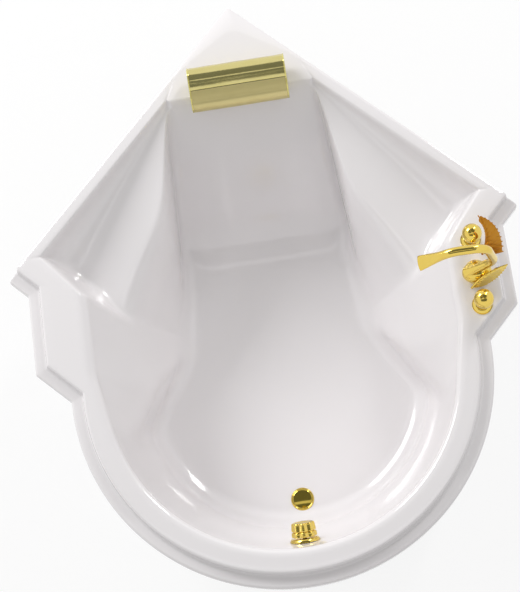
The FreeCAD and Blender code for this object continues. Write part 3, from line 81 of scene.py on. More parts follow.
# ------------------------------------------------------------------ finishes
class Grain(Enum):
    """How the noise of a finish is stretched."""

    CLOUDY = "cloudy"
    BRUSHED = "brushed"
    FIBROUS = "fibrous"
    FOIL = "foil"

    def stretch(self) -> Colour:
        """Return the noise's scale along X, Y and Z."""
        return {Grain.BRUSHED: (1.0, 1.0, 14.0), Grain.FIBROUS: (1.0, 9.0, 9.0),
                Grain.FOIL: (0.55, 1.0, 1.0)}.get(self, (1.0, 1.0, 1.0))


@dataclass(frozen=True)
class Finish:
    """Surface of a piece: two colours that a noise mixes, and how it shines."""

    name: str
    colour: Colour
    second: Colour
    metallic: float = 0.0
    roughness: float = 0.4
    grain: Grain = Grain.CLOUDY
    grain_size: float = 40.0
    bump: float = 0.0
    coat: float = 0.0
    see_through: float = 0.0
    coat_roughness: float = 0.05
    noise_detail: float = 4.0
    noise_roughness: float = 0.55
    spread: float = 0.15

    def material(self) -> bpy.types.Material:
        """Return the finish's material, made once."""
        known = bpy.data.materials.get("finish_" + self.name)
        if known:
            return known
        made = bpy.data.materials.new("finish_" + self.name)
        made.use_nodes = True
        made.diffuse_color = (*self.colour, 1.0)
        shader = made.node_tree.nodes["Principled BSDF"]
        shader.inputs["Base Color"].default_value = (*self.colour, 1.0)
        shader.inputs["Roughness"].default_value = self.roughness
        shader.inputs["Metallic"].default_value = self.metallic
        shader.inputs["Coat Weight"].default_value = self.coat
        shader.inputs["Coat Roughness"].default_value = self.coat_roughness
        shader.inputs["Transmission Weight"].default_value = self.see_through
        self._break_up(made.node_tree, shader)
        return made

    def _break_up(self, tree: bpy.types.NodeTree, shader: bpy.types.Node) -> None:
        """Mix the two colours, and vary roughness and height, by one noise.

        Args:
            tree: the material's nodes.
            shader: the surface that they feed.
        """
        place = tree.nodes.new("ShaderNodeTexCoord")
        stretch = tree.nodes.new("ShaderNodeMapping")
        stretch.inputs["Scale"].default_value = self.grain.stretch()
        noise = tree.nodes.new("ShaderNodeTexNoise")
        noise.inputs["Scale"].default_value = self.grain_size
        noise.inputs["Detail"].default_value = self.noise_detail
        noise.inputs["Roughness"].default_value = self.noise_roughness
        mix = tree.nodes.new("ShaderNodeMix")
        mix.data_type = "RGBA"
        mix.inputs["A"].default_value = (*self.colour, 1.0)
        mix.inputs["B"].default_value = (*self.second, 1.0)
        gloss = tree.nodes.new("ShaderNodeMapRange")
        gloss.inputs["To Min"].default_value = self.roughness * (1.0 - self.spread)
        gloss.inputs["To Max"].default_value = self.roughness * (1.0 + self.spread)
        tree.links.new(place.outputs["Object"], stretch.inputs["Vector"])
        tree.links.new(stretch.outputs["Vector"], noise.inputs["Vector"])
        tree.links.new(noise.outputs["Fac"], mix.inputs["Factor"])
        tree.links.new(noise.outputs["Fac"], gloss.inputs["Value"])
        tree.links.new(mix.outputs["Result"], shader.inputs["Base Color"])
        tree.links.new(gloss.outputs["Result"], shader.inputs["Roughness"])
        if self.bump:
            bump = tree.nodes.new("ShaderNodeBump")
            bump.inputs["Strength"].default_value = self.bump
            bump.inputs["Distance"].default_value = MM
            tree.links.new(noise.outputs["Fac"], bump.inputs["Height"])
            tree.links.new(bump.outputs["Normal"], shader.inputs["Normal"])


class Look(Enum):
    """Finishes of the bath and its fittings."""

    ACRYLIC = Finish("acrylic", (0.9, 0.876, 0.886), (0.888, 0.864, 0.872), roughness=0.1,
                     grain_size=3.0, coat=0.3)
    LAMINATE = Finish("laminate", (0.72, 0.72, 0.66), (0.58, 0.59, 0.53), roughness=0.65,
                      grain=Grain.FIBROUS, grain_size=60.0, bump=0.5)
    GOLD = Finish("gold", (0.82, 0.62, 0.16), (0.74, 0.53, 0.1), metallic=1.0, roughness=0.1,
                  grain_size=18.0)
    SATIN_GOLD = Finish("satin_gold", (0.62, 0.32, 0.04), (0.36, 0.12, 0.015), metallic=1.0,
                        roughness=0.28, grain_size=9.0, bump=0.15)
    # Plug: the gold painted darker, as painted shade for the dark reflections on the plug.
    DARKENED_PLUG_GILT = Finish("plug_gilt_painted_shade", (0.62, 0.47, 0.1), (0.54, 0.4, 0.07), metallic=1.0,
                       roughness=0.09, grain_size=30.0)
    BRASS = Finish("brass", (0.72, 0.53, 0.24), (0.62, 0.45, 0.2), metallic=1.0, roughness=0.3,
                   grain=Grain.BRUSHED, grain_size=120.0)
    STEEL = Finish("steel", (0.62, 0.63, 0.64), (0.5, 0.51, 0.52), metallic=1.0, roughness=0.35,
                   grain=Grain.BRUSHED, grain_size=90.0)
    RUBBER = Finish("rubber", (0.035, 0.035, 0.037), (0.05, 0.05, 0.05), roughness=0.7, bump=0.2)
    CLEAR_RUBBER = Finish("clear_rubber", (0.82, 0.85, 0.86), (0.78, 0.8, 0.82), roughness=0.2,
                          see_through=0.6)
    WOOD = Finish("wood", (0.62, 0.45, 0.28), (0.45, 0.31, 0.18), roughness=0.7,
                  grain=Grain.FIBROUS, grain_size=35.0, bump=0.4)
    WHITE_PLASTIC = Finish("white_plastic", (0.86, 0.86, 0.85), (0.83, 0.83, 0.82), roughness=0.35)
    VINYL = Finish("vinyl", (0.70, 0.62, 0.27), (0.62, 0.54, 0.2), metallic=0.92, roughness=0.16,
                   grain=Grain.FOIL, grain_size=26.0, bump=0.35, coat=0.3)
    # Lower roll: the same vinyl painted paler and made less metallic, painted light so that it looks lit
    # all over and mirrors no dark band.
    PALE_LIT_VINYL = Finish("vinyl_painted_pale", (0.74, 0.64, 0.30), (0.66, 0.56, 0.24), metallic=0.55,
                        roughness=0.34, grain=Grain.FOIL, grain_size=26.0, bump=0.35, coat=0.1)
    PIPING = Finish("piping", (0.80, 0.74, 0.3), (0.7, 0.62, 0.2), metallic=0.9, roughness=0.16)
    THREAD = Finish("thread", (0.36, 0.31, 0.1), (0.3, 0.25, 0.08), roughness=0.6)

    def material(self) -> bpy.types.Material:
        """Return the material of this finish."""
        return self.value.material()


# --------------------------------------------------------------------- meshes
@dataclass
class Draft:
    """Mesh under construction, as grids of points in metres."""

    points: list[tuple[float, float, float]] = field(default_factory=list)
    faces: list[tuple[int, ...]] = field(default_factory=list)
    layers: list[int] = field(default_factory=list)

    def grid(self, rows: np.ndarray, round_rows: bool = True, round_columns: bool = False,
             layer: int | Sequence[int] = 0) -> None:
        """Add a grid of quads.

        Args:
            rows: points as an array (row, column, 3).
            round_rows: join the last column to the first.
            round_columns: join the last row to the first.
            layer: finish of all rows of faces, or one for each row.
        """
        count, width = rows.shape[:2]
        start = len(self.points)
        self.points.extend(map(tuple, rows.reshape(-1, 3).tolist()))
        for i in range(count if round_columns else count - 1):
            finish = layer if isinstance(layer, int) else layer[i]
            for j in range(width if round_rows else width - 1):
                i1, j1 = (i + 1) % count, (j + 1) % width
                self.faces.append((start + i * width + j, start + i * width + j1,
                                   start + i1 * width + j1, start + i1 * width + j))
                self.layers.append(finish)

    def fan(self, ring: np.ndarray, layer: int = 0) -> None:
        """Close a ring with one face.

        Args:
            ring: points as an array (column, 3).
            layer: finish of the face.
        """
        start = len(self.points)
        self.points.extend(map(tuple, ring.tolist()))
        self.faces.append(tuple(range(start, start + len(ring))))
        self.layers.append(layer)

    def lathe(self, profile: Sequence[Plan], base: Vector, axis: Vector = UP, steps: int = 64) -> None:
        """Spin a profile about an axis.

        Args:
            profile: (radius, height) in millimetres.
            base: origin of the heights, in metres.
            axis: direction of the heights.
            steps: points round the axis.
        """
        turn = np.array(UP.rotation_difference(axis).to_matrix())
        angles = np.linspace(0.0, FULL_TURN, steps, endpoint=False)
        rows = []
        for radius, height in profile:
            ring = np.stack([radius * np.cos(angles), radius * np.sin(angles),
                             np.full(steps, height)], axis=1) * MM
            rows.append(ring @ turn.T + np.array(base))
        self.grid(np.array(rows))

    def tube(self, path: np.ndarray, radii: Sequence[float] | float, steps: int = 12,
             closed: bool = False, layer: int = 0) -> None:
        """Add a round tube along a path.

        Args:
            path: points in metres.
            radii: one radius in millimetres, or one for each point.
            steps: points round the tube.
            closed: join the end to the start.
            layer: finish of the tube.
        """
        sizes = np.full(len(path), radii) if isinstance(radii, (int, float)) else np.array(radii)
        ahead = np.roll(path, -1, axis=0) - np.roll(path, 1, axis=0)
        if not closed:
            ahead[0], ahead[-1] = path[1] - path[0], path[-1] - path[-2]
        ahead /= np.linalg.norm(ahead, axis=1)[:, None]
        side = np.cross(ahead[0], UP)
        if np.linalg.norm(side) < 1e-4:
            side = np.array((1.0, 0.0, 0.0))
        angles = np.linspace(0.0, FULL_TURN, steps, endpoint=False)
        rows = []
        for place, forward, size in zip(path, ahead, sizes):
            side = side - forward * side.dot(forward)
            side /= np.linalg.norm(side)
            up = np.cross(side, forward)
            ring = np.outer(np.cos(angles), side) + np.outer(np.sin(angles), up)
            rows.append(place + size * MM * ring)
        self.grid(np.array(rows), round_columns=closed, layer=layer)
        if not closed:
            self.fan(rows[0], layer)
            self.fan(rows[-1], layer)

    def build(self, name: str, looks: Sequence[Look], sharp: float = 32.0) -> bpy.types.Object:
        """Merge the points, turn the faces outwards and smooth them.

        Args:
            name: the object's name.
            looks: finishes, in the order of the layers.
            sharp: angle in degrees from which an edge stays sharp.

        Returns:
            The linked object.
        """
        mesh = bpy.data.meshes.new(name)
        mesh.from_pydata(self.points, [], self.faces)
        mesh.polygons.foreach_set("material_index", self.layers)
        for look in looks:
            mesh.materials.append(look.material())
        tidy(mesh)
        return shown(name, mesh, sharp)


def tidy(mesh: bpy.types.Mesh) -> None:
    """Merge coincident points and turn every face outwards.

    Args:
        mesh: the mesh, which is changed in place.
    """
    work = bmesh.new()
    work.from_mesh(mesh)
    bmesh.ops.remove_doubles(work, verts=work.verts, dist=2e-6)
    bmesh.ops.dissolve_degenerate(work, edges=work.edges, dist=1e-7)
    bmesh.ops.recalc_face_normals(work, faces=work.faces)
    work.to_mesh(mesh)
    work.free()


def shown(name: str, mesh: bpy.types.Mesh, sharp: float = 32.0) -> bpy.types.Object:
    """Link a mesh as an object, smooth except at sharp edges.

    Args:
        name: the object's name.
        mesh: the mesh, in metres.
        sharp: angle in degrees from which an edge stays sharp.

    Returns:
        The linked object.
    """
    mesh.shade_smooth()
    mesh.set_sharp_from_angle(angle=math.radians(sharp))
    made = bpy.data.objects.new(name, mesh)
    bpy.context.scene.collection.objects.link(made)
    return made


def finished(piece: bpy.types.Object, body: str, slot: str, node: str) -> bpy.types.Object:
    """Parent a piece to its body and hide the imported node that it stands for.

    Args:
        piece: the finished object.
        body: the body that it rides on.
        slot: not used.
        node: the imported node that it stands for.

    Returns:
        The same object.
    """
    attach(piece, body)
    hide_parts(node)
    LOG.info("%s: %d faces on %s for %s", piece.name, len(piece.data.polygons), body, node)
    return piece


# ----------------------------------------------------------- geometry nodes
class Instancer:
    """Geometry-node tree that sets one shape at every point of a mesh."""

    INPUTS: ClassVar[dict[str, str]] = {
        "Geometry": "NodeSocketGeometry", "Shape": "NodeSocketObject",
        "Finish": "NodeSocketMaterial", "Size": "NodeSocketFloat"}

    def __init__(self) -> None:
        """Make the tree and its named inputs."""
        self.tree = bpy.data.node_groups.new("shape_at_points", "GeometryNodeTree")
        self.sockets: dict[str, str] = {}
        for name, kind in self.INPUTS.items():
            socket = self.tree.interface.new_socket(name=name, in_out="INPUT", socket_type=kind)
            self.sockets[name] = socket.identifier
        self.tree.interface.new_socket(name="Geometry", in_out="OUTPUT", socket_type="NodeSocketGeometry")
        self._wire()

    def _attribute(self, name: str) -> bpy.types.NodeSocket:
        """Read a vector of the points.

        Args:
            name: the attribute's name.

        Returns:
            The socket that gives it.
        """
        node = self.tree.nodes.new("GeometryNodeInputNamedAttribute")
        node.data_type = "FLOAT_VECTOR"
        node.inputs["Name"].default_value = name
        return node.outputs["Attribute"]

    def _wire(self) -> None:
        """Lay the nodes out and join them."""
        nodes, links = self.tree.nodes, self.tree.links
        source = nodes.new("NodeGroupInput")
        shape = nodes.new("GeometryNodeObjectInfo")
        place = nodes.new("GeometryNodeInstanceOnPoints")
        scale = nodes.new("ShaderNodeVectorMath")
        scale.operation = "SCALE"
        real = nodes.new("GeometryNodeRealizeInstances")
        finish = nodes.new("GeometryNodeSetMaterial")
        sink = nodes.new("NodeGroupOutput")
        links.new(source.outputs["Geometry"], place.inputs["Points"])
        links.new(source.outputs["Shape"], shape.inputs["Object"])
        links.new(shape.outputs["Geometry"], place.inputs["Instance"])
        links.new(self._attribute("turn"), place.inputs["Rotation"])
        links.new(self._attribute("stretch"), scale.inputs[0])
        links.new(source.outputs["Size"], scale.inputs["Scale"])
        links.new(scale.outputs[0], place.inputs["Scale"])
        links.new(place.outputs["Instances"], real.inputs["Geometry"])
        links.new(real.outputs["Geometry"], finish.inputs["Geometry"])
        links.new(source.outputs["Finish"], finish.inputs["Material"])
        links.new(finish.outputs["Geometry"], sink.inputs["Geometry"])

    def run(self, name: str, places: Sequence[Placed], shape: bpy.types.Object, look: Look,
            size: float = 1.0) -> bpy.types.Mesh:
        """Set a shape at every place.

        Args:
            name: the mesh's name.
            places: origin, 3x3 turn and stretch of each copy.
            shape: the object that is repeated; it is removed afterwards.
            look: finish of all copies.
            size: scale of all copies.

        Returns:
            One plain mesh with all copies.
        """
        points = bpy.data.meshes.new(name + "_points")
        points.from_pydata([tuple(origin) for origin, _, _ in places], [], [])
        for label, values in (("turn", [turn.to_euler() for _, turn, _ in places]),
                              ("stretch", [stretch for _, _, stretch in places])):
            layer = points.attributes.new(label, "FLOAT_VECTOR", "POINT")
            layer.data.foreach_set("vector", [part for value in values for part in value])
        holder = bpy.data.objects.new(name + "_points", points)
        bpy.context.scene.collection.objects.link(holder)
        modifier = holder.modifiers.new("repeat", "NODES")
        modifier.node_group = self.tree
        modifier[self.sockets["Shape"]] = shape
        modifier[self.sockets["Finish"]] = look.material()
        modifier[self.sockets["Size"]] = size
        bpy.context.view_layer.update()
        graph = bpy.context.evaluated_depsgraph_get()
        mesh = bpy.data.meshes.new_from_object(holder.evaluated_get(graph), depsgraph=graph)
        mesh.name = name
        bpy.data.objects.remove(holder)
        bpy.data.objects.remove(shape)
        return mesh


def joined(name: str, parts: Iterable[bpy.types.Object], sharp: float) -> bpy.types.Object:
    """Join objects into one, each face keeping its finish.

    Args:
        name: the new object's name.
        parts: the objects, which are removed.
        sharp: angle in degrees from which an edge stays sharp.

    Returns:
        The linked object.
    """
    made = bpy.data.meshes.new(name)
    work = bmesh.new()
    slots: list[bpy.types.Material] = []
    for part in parts:
        start = len(work.faces)
        work.from_mesh(part.data)
        work.faces.ensure_lookup_table()
        own = list(part.data.materials)
        for face in work.faces[start:]:
            finish = own[face.material_index]
            if finish not in slots:
                slots.append(finish)
            face.material_index = slots.index(finish)
        bpy.data.objects.remove(part)
    work.to_mesh(made)
    work.free()
    for finish in slots:
        made.materials.append(finish)
    return shown(name, made, sharp)


# ----------------------------------------------------------- plan outlines
SPANS = (18, 10, 50, 10, 16, 10, 26, 12, 10, 58)
RIM_SPANS = (4, 24, 50, 10, 9, 7, 3, 7, 26, 6, 6, 3, 5, 2, 58)
HALF_RING = sum(SPANS) + 1


def sampled(line: np.ndarray, count: int) -> np.ndarray:
    """Space points evenly along a line of points.

    Args:
        line: points as an array (point, 2 or 3).
        count: number of new points.

    Returns:
        The new points; the line's end is left out.
    """
    steps = np.linalg.norm(np.diff(line, axis=0), axis=1)
    run = np.concatenate([[0.0], np.cumsum(steps)])
    marks = np.linspace(0.0, run[-1], count, endpoint=False)
    return np.stack([np.interp(marks, run, line[:, k]) for k in range(line.shape[1])], axis=1)


def half_ring(lines: Sequence[Sequence], spans: Sequence[int], end: Plan) -> np.ndarray:
    """Space points along lines that follow each other, so that all rings keep step.

    Args:
        lines: the lines, each a sequence of plan points.
        spans: number of points on each.
        end: the last point.

    Returns:
        Points as an array (point, 2).
    """
    pieces = [sampled(np.array(line), count) for line, count in zip(lines, spans)]
    return np.vstack([*pieces, end])


def both_sides(half: np.ndarray) -> np.ndarray:
    """Mirror a right half, head centre to front centre, into a closed ring.

    Args:
        half: points as an array (point, 2).

    Returns:
        The ring's points.
    """
    other = half[-2:0:-1].copy()
    other[:, 0] *= -1.0
    return np.concatenate([half, other])


def along_ring(marks: Sequence[int], values: Sequence[float]) -> np.ndarray:
    """Give every sample of a ring a value.

    Args:
        marks: some samples of the right half.
        values: the values there; the others lie between them.

    Returns:
        One value for each sample of the whole ring.
    """
    half = np.interp(np.arange(HALF_RING), marks, values)
    return np.concatenate([half, half[-2:0:-1]])


def corner_arc(before: Plan, corner: Plan, after: Plan, radius: float, count: int = 24) -> np.ndarray:
    """Round a corner.

    Args:
        before: a point before the corner.
        corner: the sharp corner.
        after: a point after it.
        radius: the arc's radius.
        count: points on the arc.

    Returns:
        The arc from one tangent point to the other.
    """
    at = np.array(corner)
    u = np.array(before) - at
    v = np.array(after) - at
    u /= np.linalg.norm(u)
    v /= np.linalg.norm(v)
    half = math.acos(float(np.clip(u @ v, -1.0, 1.0))) / 2.0
    reach = radius / math.tan(half)
    first, last = at + u * reach, at + v * reach
    middle = (u + v) / np.linalg.norm(u + v)
    centre = at + middle * (radius / math.sin(half))
    a, b = first - centre, last - centre
    turn = math.atan2(a[0] * b[1] - a[1] * b[0], a @ b)
    angles = math.atan2(a[1], a[0]) + np.linspace(0.0, turn, count)
    return centre + radius * np.stack([np.cos(angles), np.sin(angles)], axis=1)


def bow_arc(centre: float, radius: float, start: float) -> np.ndarray:
    """Draw the right half of the bow.

    Args:
        centre: back of the bow's centre.
        radius: the bow's radius.
        start: angle of its first point.

    Returns:
        The arc up to the middle of the front.
    """
    angles = np.linspace(start, QUARTER_TURN, 200)
    return np.stack([radius * np.cos(angles), centre + radius * np.sin(angles)], axis=1)


def drawn_in(chain: Sequence[Plan], distances: Sequence[float]) -> list[np.ndarray]:
    """Move each edge of an open chain inwards.

    Args:
        chain: the chain's points.
        distances: one distance for each edge.

    Returns:
        The moved points.
    """
    points = [np.array(point) for point in chain]
    normals = []
    for start, end in zip(points, points[1:]):
        edge = (end - start) / np.linalg.norm(end - start)
        normals.append(np.array((edge[1], -edge[0])))
    moved = []
    for k, point in enumerate(points):
        before, after = max(k - 1, 0), min(k, len(normals) - 1)
        n0, n1 = normals[before], normals[after]
        d0, d1 = distances[before], distances[after]
        cross = n0[0] * n1[1] - n0[1] * n1[0]
        if abs(cross) < 1e-6:
            moved.append(point + n0 * d0)
            continue
        step = np.array(((d0 * n1[1] - d1 * n0[1]) / cross, (n0[0] * d1 - n1[0] * d0) / cross))
        moved.append(point + step)
    return moved


def soft_min(a: np.ndarray, b: np.ndarray, width: np.ndarray | float) -> np.ndarray:
    """Take the smaller of two values, rounded where they meet.

    Args:
        a: first values.
        b: second values.
        width: difference below which they are blended.

    Returns:
        The blended values.
    """
    blend = np.maximum(width - np.abs(a - b), 0.0) / np.maximum(width, 1e-6)
    return np.minimum(a, b) - blend * blend * width / 4.0


def soft_max(a: np.ndarray, b: np.ndarray, width: np.ndarray | float) -> np.ndarray:
    """Take the larger of two values, rounded where they meet."""
    return -soft_min(-a, -b, width)


@dataclass
class Level:
    """Outline of the basin at one depth, as its right-hand corners and the bow."""

    head: Plan
    arm: Plan
    hip: Plan
    side: Plan
    start: float
    centre: float
    radius: float
    rounds: ClassVar[Sequence[float]] = (30.0, 260.0, 60.0, 120.0)

    def slant(self) -> Plan:
        """Return the point where the side meets the bow."""
        return self.radius * math.cos(self.start), self.centre + self.radius * math.sin(self.start)

    def drawn(self, distance: float) -> "Level":
        """Draw the outline in, its corner radii unchanged.

        Args:
            distance: how far every side moves.

        Returns:
            The outline further in.
        """
        chain = [self.slant(), self.side, self.hip, self.arm, self.head, (-self.head[0], self.head[1])]
        moved = drawn_in(chain, [distance] * 5)
        side, hip, arm, head = ((float(x), float(back)) for x, back in moved[1:5])
        return Level(head, arm, hip, side, self.start, self.centre, self.radius - distance)

    def half(self) -> np.ndarray:
        """Return the right half, in step with the rim and the roll."""
        slant = self.slant()
        head = corner_arc((0.0, self.head[1]), self.head, self.arm, self.rounds[0])
        arm = corner_arc(self.head, self.arm, self.hip, self.rounds[1])
        hip = corner_arc(self.arm, self.hip, self.side, self.rounds[2])
        side = corner_arc(self.hip, self.side, slant, self.rounds[3])
        halfway = (arm[-1] + hip[0]) / 2.0
        middle = len(hip) // 2
        lines = [[(0.0, self.head[1]), head[0]], head, [head[-1], *arm], [arm[-1], halfway],
                 [halfway, *hip[:middle]], hip[middle - 1:], [hip[-1], side[0]], side,
                 [side[-1], slant], bow_arc(self.centre, self.radius, self.start)]
        return half_ring(lines, SPANS, (0.0, self.centre + self.radius))


# ---------------------------------------------------------------- the shell
@dataclass
class Armrest:
    """Hollow beside the backrest: a rolled edge, a curved fall and a sloping tray.

    It is the same on both sides, and lies along the wall. Its distances run
    along the wall from the corner, and across from the wall.
    """

    begin: float = 349.3
    length: float = 550.7
    share_limit: float = 1.15
    edge: float = 38.0
    edge_round: float = 8.0
    edge_drop: float = 10.0
    fall_run: Plan = (8.0, 78.0)
    fall_drop: Plan = (16.0, 102.0)
    fall_ease: float = 0.06
    fall_bow: float = 0.86
    tray_reach: Plan = (60.0, 368.0)
    tray_drop: Plan = (2.0, 26.0)
    tray_limit: float = 1.6
    end: float = 939.0
    end_splay: float = 0.093
    end_slope: float = 0.30
    end_round: Plan = (30.0, 25.0)
    start: float = 343.0
    start_slope: float = 2.5
    start_round: float = 10.0

    def depth(self, plan: np.ndarray) -> np.ndarray:
        """Work out how deep the hollow is.

        Args:
            plan: plan points as an array (point, 2).

        Returns:
            The depth at each point, zero outside the armrests.
        """
        x, back = np.abs(plan[..., 0]), plan[..., 1]
        along, across = (x + back) / math.sqrt(2.0), (back - x) / math.sqrt(2.0)
        share = np.clip((along - self.begin) / self.length, 0.0, self.share_limit)
        run = self.fall_run[0] + self.fall_run[1] * share
        drop = self.fall_drop[0] + self.fall_drop[1] * share
        depth = np.where(across < self.edge, self._edge(across),
                         np.where(across < self.edge + run, self._fall(across, run, drop),
                                  self._tray(across, run, drop, share)))
        end = (self.end + self.end_splay * (across - self.edge) - along) / self.end_slope
        end = soft_max(end, np.zeros_like(along), self.end_round[0])
        start = np.maximum((along - self.start) * self.start_slope, 0.0)
        depth = soft_min(depth, end, np.clip(np.minimum(depth, end), 0.0, self.end_round[1]))
        depth = soft_min(depth, start, np.clip(np.minimum(depth, start), 0.0, self.start_round))
        return np.maximum(depth, 0.0)

    def _edge(self, across: np.ndarray) -> np.ndarray:
        """Return the drop of the rolled edge."""
        share = np.clip((across - self.edge + self.edge_round) / self.edge_round, 0.0, 1.0)
        return share ** 2 * self.edge_drop

    def _fall(self, across: np.ndarray, run: np.ndarray, drop: np.ndarray) -> np.ndarray:
        """Return the drop of the curved fall below the edge.

        Args:
            across: distance from the wall.
            run: the fall's width.
            drop: the depth at its foot.

        Returns:
            The depth at each point.
        """
        step = np.clip((across - self.edge) / run, 0.0, 1.0)
        ease = self.fall_ease
        turn = (np.sqrt(ease ** 2 + (1.0 - 2.0 * ease) * step) - ease) / (1.0 - 2.0 * ease)
        turn = np.clip(turn, 0.0, 1.0)
        fall = 2.0 * turn * (1.0 - turn) * self.fall_bow + turn * turn
        return self.edge_drop + (drop - self.edge_drop) * fall

    def _tray(self, across: np.ndarray, run: np.ndarray, drop: np.ndarray,
              share: np.ndarray) -> np.ndarray:
        """Return the drop of the sloping tray.

        Args:
            across: distance from the wall.
            run: the fall's width.
            drop: the depth at the fall's foot.
            share: place along the armrest, from 0 to 1.

        Returns:
            The depth at each point.
        """
        foot = self.edge + run
        far = self.tray_reach[0] + self.tray_reach[1] * share
        slope = self.tray_drop[0] + self.tray_drop[1] * share
        return drop + slope * np.clip((across - foot) / (far - foot), 0.0, self.tray_limit)


@dataclass
class BathShell:
    """Moulded shell: stepped rim, deck, rolled edge, armrests, well and underside."""

    bow: float = 600.0
    bow_back: float = 1131.371
    ear: float = 694.0
    wall_end: float = 744.912
    ear_start: float = 795.823
    ear_end: float = 1031.371
    notch_back: float = 1125.371
    corner: float = 6.0
    arm_marks: Plan = (244.8, 669.6)
    lip_drop: float = 61.0
    lip: float = 6.0
    step_drop: float = 34.0
    step_round: float = 8.0
    ledge_in: float = 28.0
    ledge_fall: float = 0.05
    ledge_under: float = 32.0
    deck_under: float = 6.0
    rise_in: float = 39.0
    deck_in: float = 46.0
    deck_round: float = 7.0
    wall_ease: float = 1.6
    deck_rows: Sequence[float] = (0.3, 0.65)
    roll: float = 24.0
    head_roll: float = 8.0
    roll_depth: float = 16.0
    roll_head: Plan = (223.6, 266.0)
    roll_far: Plan = (648.4, 690.8)
    roll_near: float = 803.5
    roll_rounds: Sequence[float] = (25.0, 13.0, 15.0, 120.0)
    sheet: float = 6.5
    crease: float = 170.0
    crease_soft: float = 70.0
    floor: float = 440.0
    head_fillet: float = 84.0
    side_fillet: float = 52.0
    arm_blend: float = 40.0
    soft_rounds: int = 14
    roll_rows: int = 40
    wall_rows: int = 50
    fillet_rows: int = 13
    floor_rows: Sequence[float] = (0.12, 0.3, 0.5, 0.7, 0.88, 1.0)
    under_step: int = 3
    waste_back: float = 1437.971
    waste_radius: float = 26.0
    armrest: Armrest = field(default_factory=Armrest)
    opening: Level = field(default_factory=lambda: Level(
        (220.0, 274.0), (282.0, 560.0), (530.0, 805.0), (530.0, 1060.0), 0.24426, 1131.371, 497.0))
    crease_line: Level = field(default_factory=lambda: Level(
        (240.0, 408.0), (270.0, 655.0), (398.0, 872.0), (388.0, 1096.0), math.radians(16.0), 1113.5, 473.0))
    floor_line: Level = field(default_factory=lambda: Level(
        (272.0, 620.0), (277.0, 762.0), (286.0, 885.0), (298.0, 940.0), math.radians(9.0), 1085.0, 430.0))

    def rim(self, mould: float, wall: float) -> np.ndarray:
        """Draw the rim's outline.

        Args:
            mould: how far it is drawn in along the front and the ears.
            wall: how far it is drawn in along the walls.

        Returns:
            The ring's plan points.
        """
        chain = [(self.bow, self.bow_back), (self.bow, self.notch_back), (self.ear, self.ear_end),
                 (self.ear, self.ear_start), (self.wall_end, self.wall_end), (0.0, 0.0),
                 (-self.wall_end, self.wall_end)]
        chain = drawn_in(chain, [mould] * 4 + [wall] * 2)
        foot, notch, front, back, end, apex, other = chain
        apex_arc = corner_arc(other, apex, end, self.corner)
        end_arc = corner_arc(apex, end, back, self.corner)
        back_arc = corner_arc(end, back, front, self.corner)
        front_arc = corner_arc(back, front, notch, self.corner)
        notch_arc = corner_arc(front, notch, foot, self.corner)
        first, second = ((mark, mark + apex[1]) for mark in self.arm_marks)
        middle = (end_arc[-1] + back_arc[0]) / 2.0
        shoulder = (front_arc[-1] + notch_arc[0]) / 2.0
        radius = self.bow - mould
        lines = [apex_arc[len(apex_arc) // 2:], [apex_arc[-1], first], [first, second],
                 [second, end_arc[0]], end_arc, [end_arc[-1], middle], [middle, back_arc[0]], back_arc,
                 [back_arc[-1], front_arc[0]], front_arc, [front_arc[-1], shoulder],
                 [shoulder, notch_arc[0]], notch_arc, [notch_arc[-1], foot],
                 bow_arc(self.bow_back, radius, 0.0)]
        ring = half_ring(lines, RIM_SPANS, (0.0, self.bow_back + radius))
        ring[0, 0] = 0.0
        return both_sides(ring)

    def roll_start(self) -> np.ndarray:
        """Return the outer edge of the rolled opening and of the armrests."""
        radius = self.opening.radius + self.roll
        back = self.opening.side[1]
        x = self.opening.side[0] + self.roll
        bearing = math.atan2(self.bow_back - back, x)
        start = math.acos(radius / math.hypot(x, self.bow_back - back)) - bearing
        slant = (radius * math.cos(start), self.bow_back + radius * math.sin(start))
        head, far, near, side = self.roll_head, self.roll_far, (x, self.roll_near), (x, back)
        middle = (0.0, head[1])
        head_arc = corner_arc(middle, head, far, self.roll_rounds[0])
        far_arc = corner_arc(head, far, near, self.roll_rounds[1])
        near_arc = corner_arc(far, near, side, self.roll_rounds[2])
        side_arc = corner_arc(near, side, slant, self.roll_rounds[3])
        lines = [[middle, head_arc[0]], head_arc, [head_arc[-1], far_arc[0]], far_arc,
                 [far_arc[-1], near_arc[0]], near_arc, [near_arc[-1], side_arc[0]], side_arc,
                 [side_arc[-1], slant], bow_arc(self.bow_back, radius, start)]
        return both_sides(half_ring(lines, SPANS, (0.0, self.bow_back + radius)))

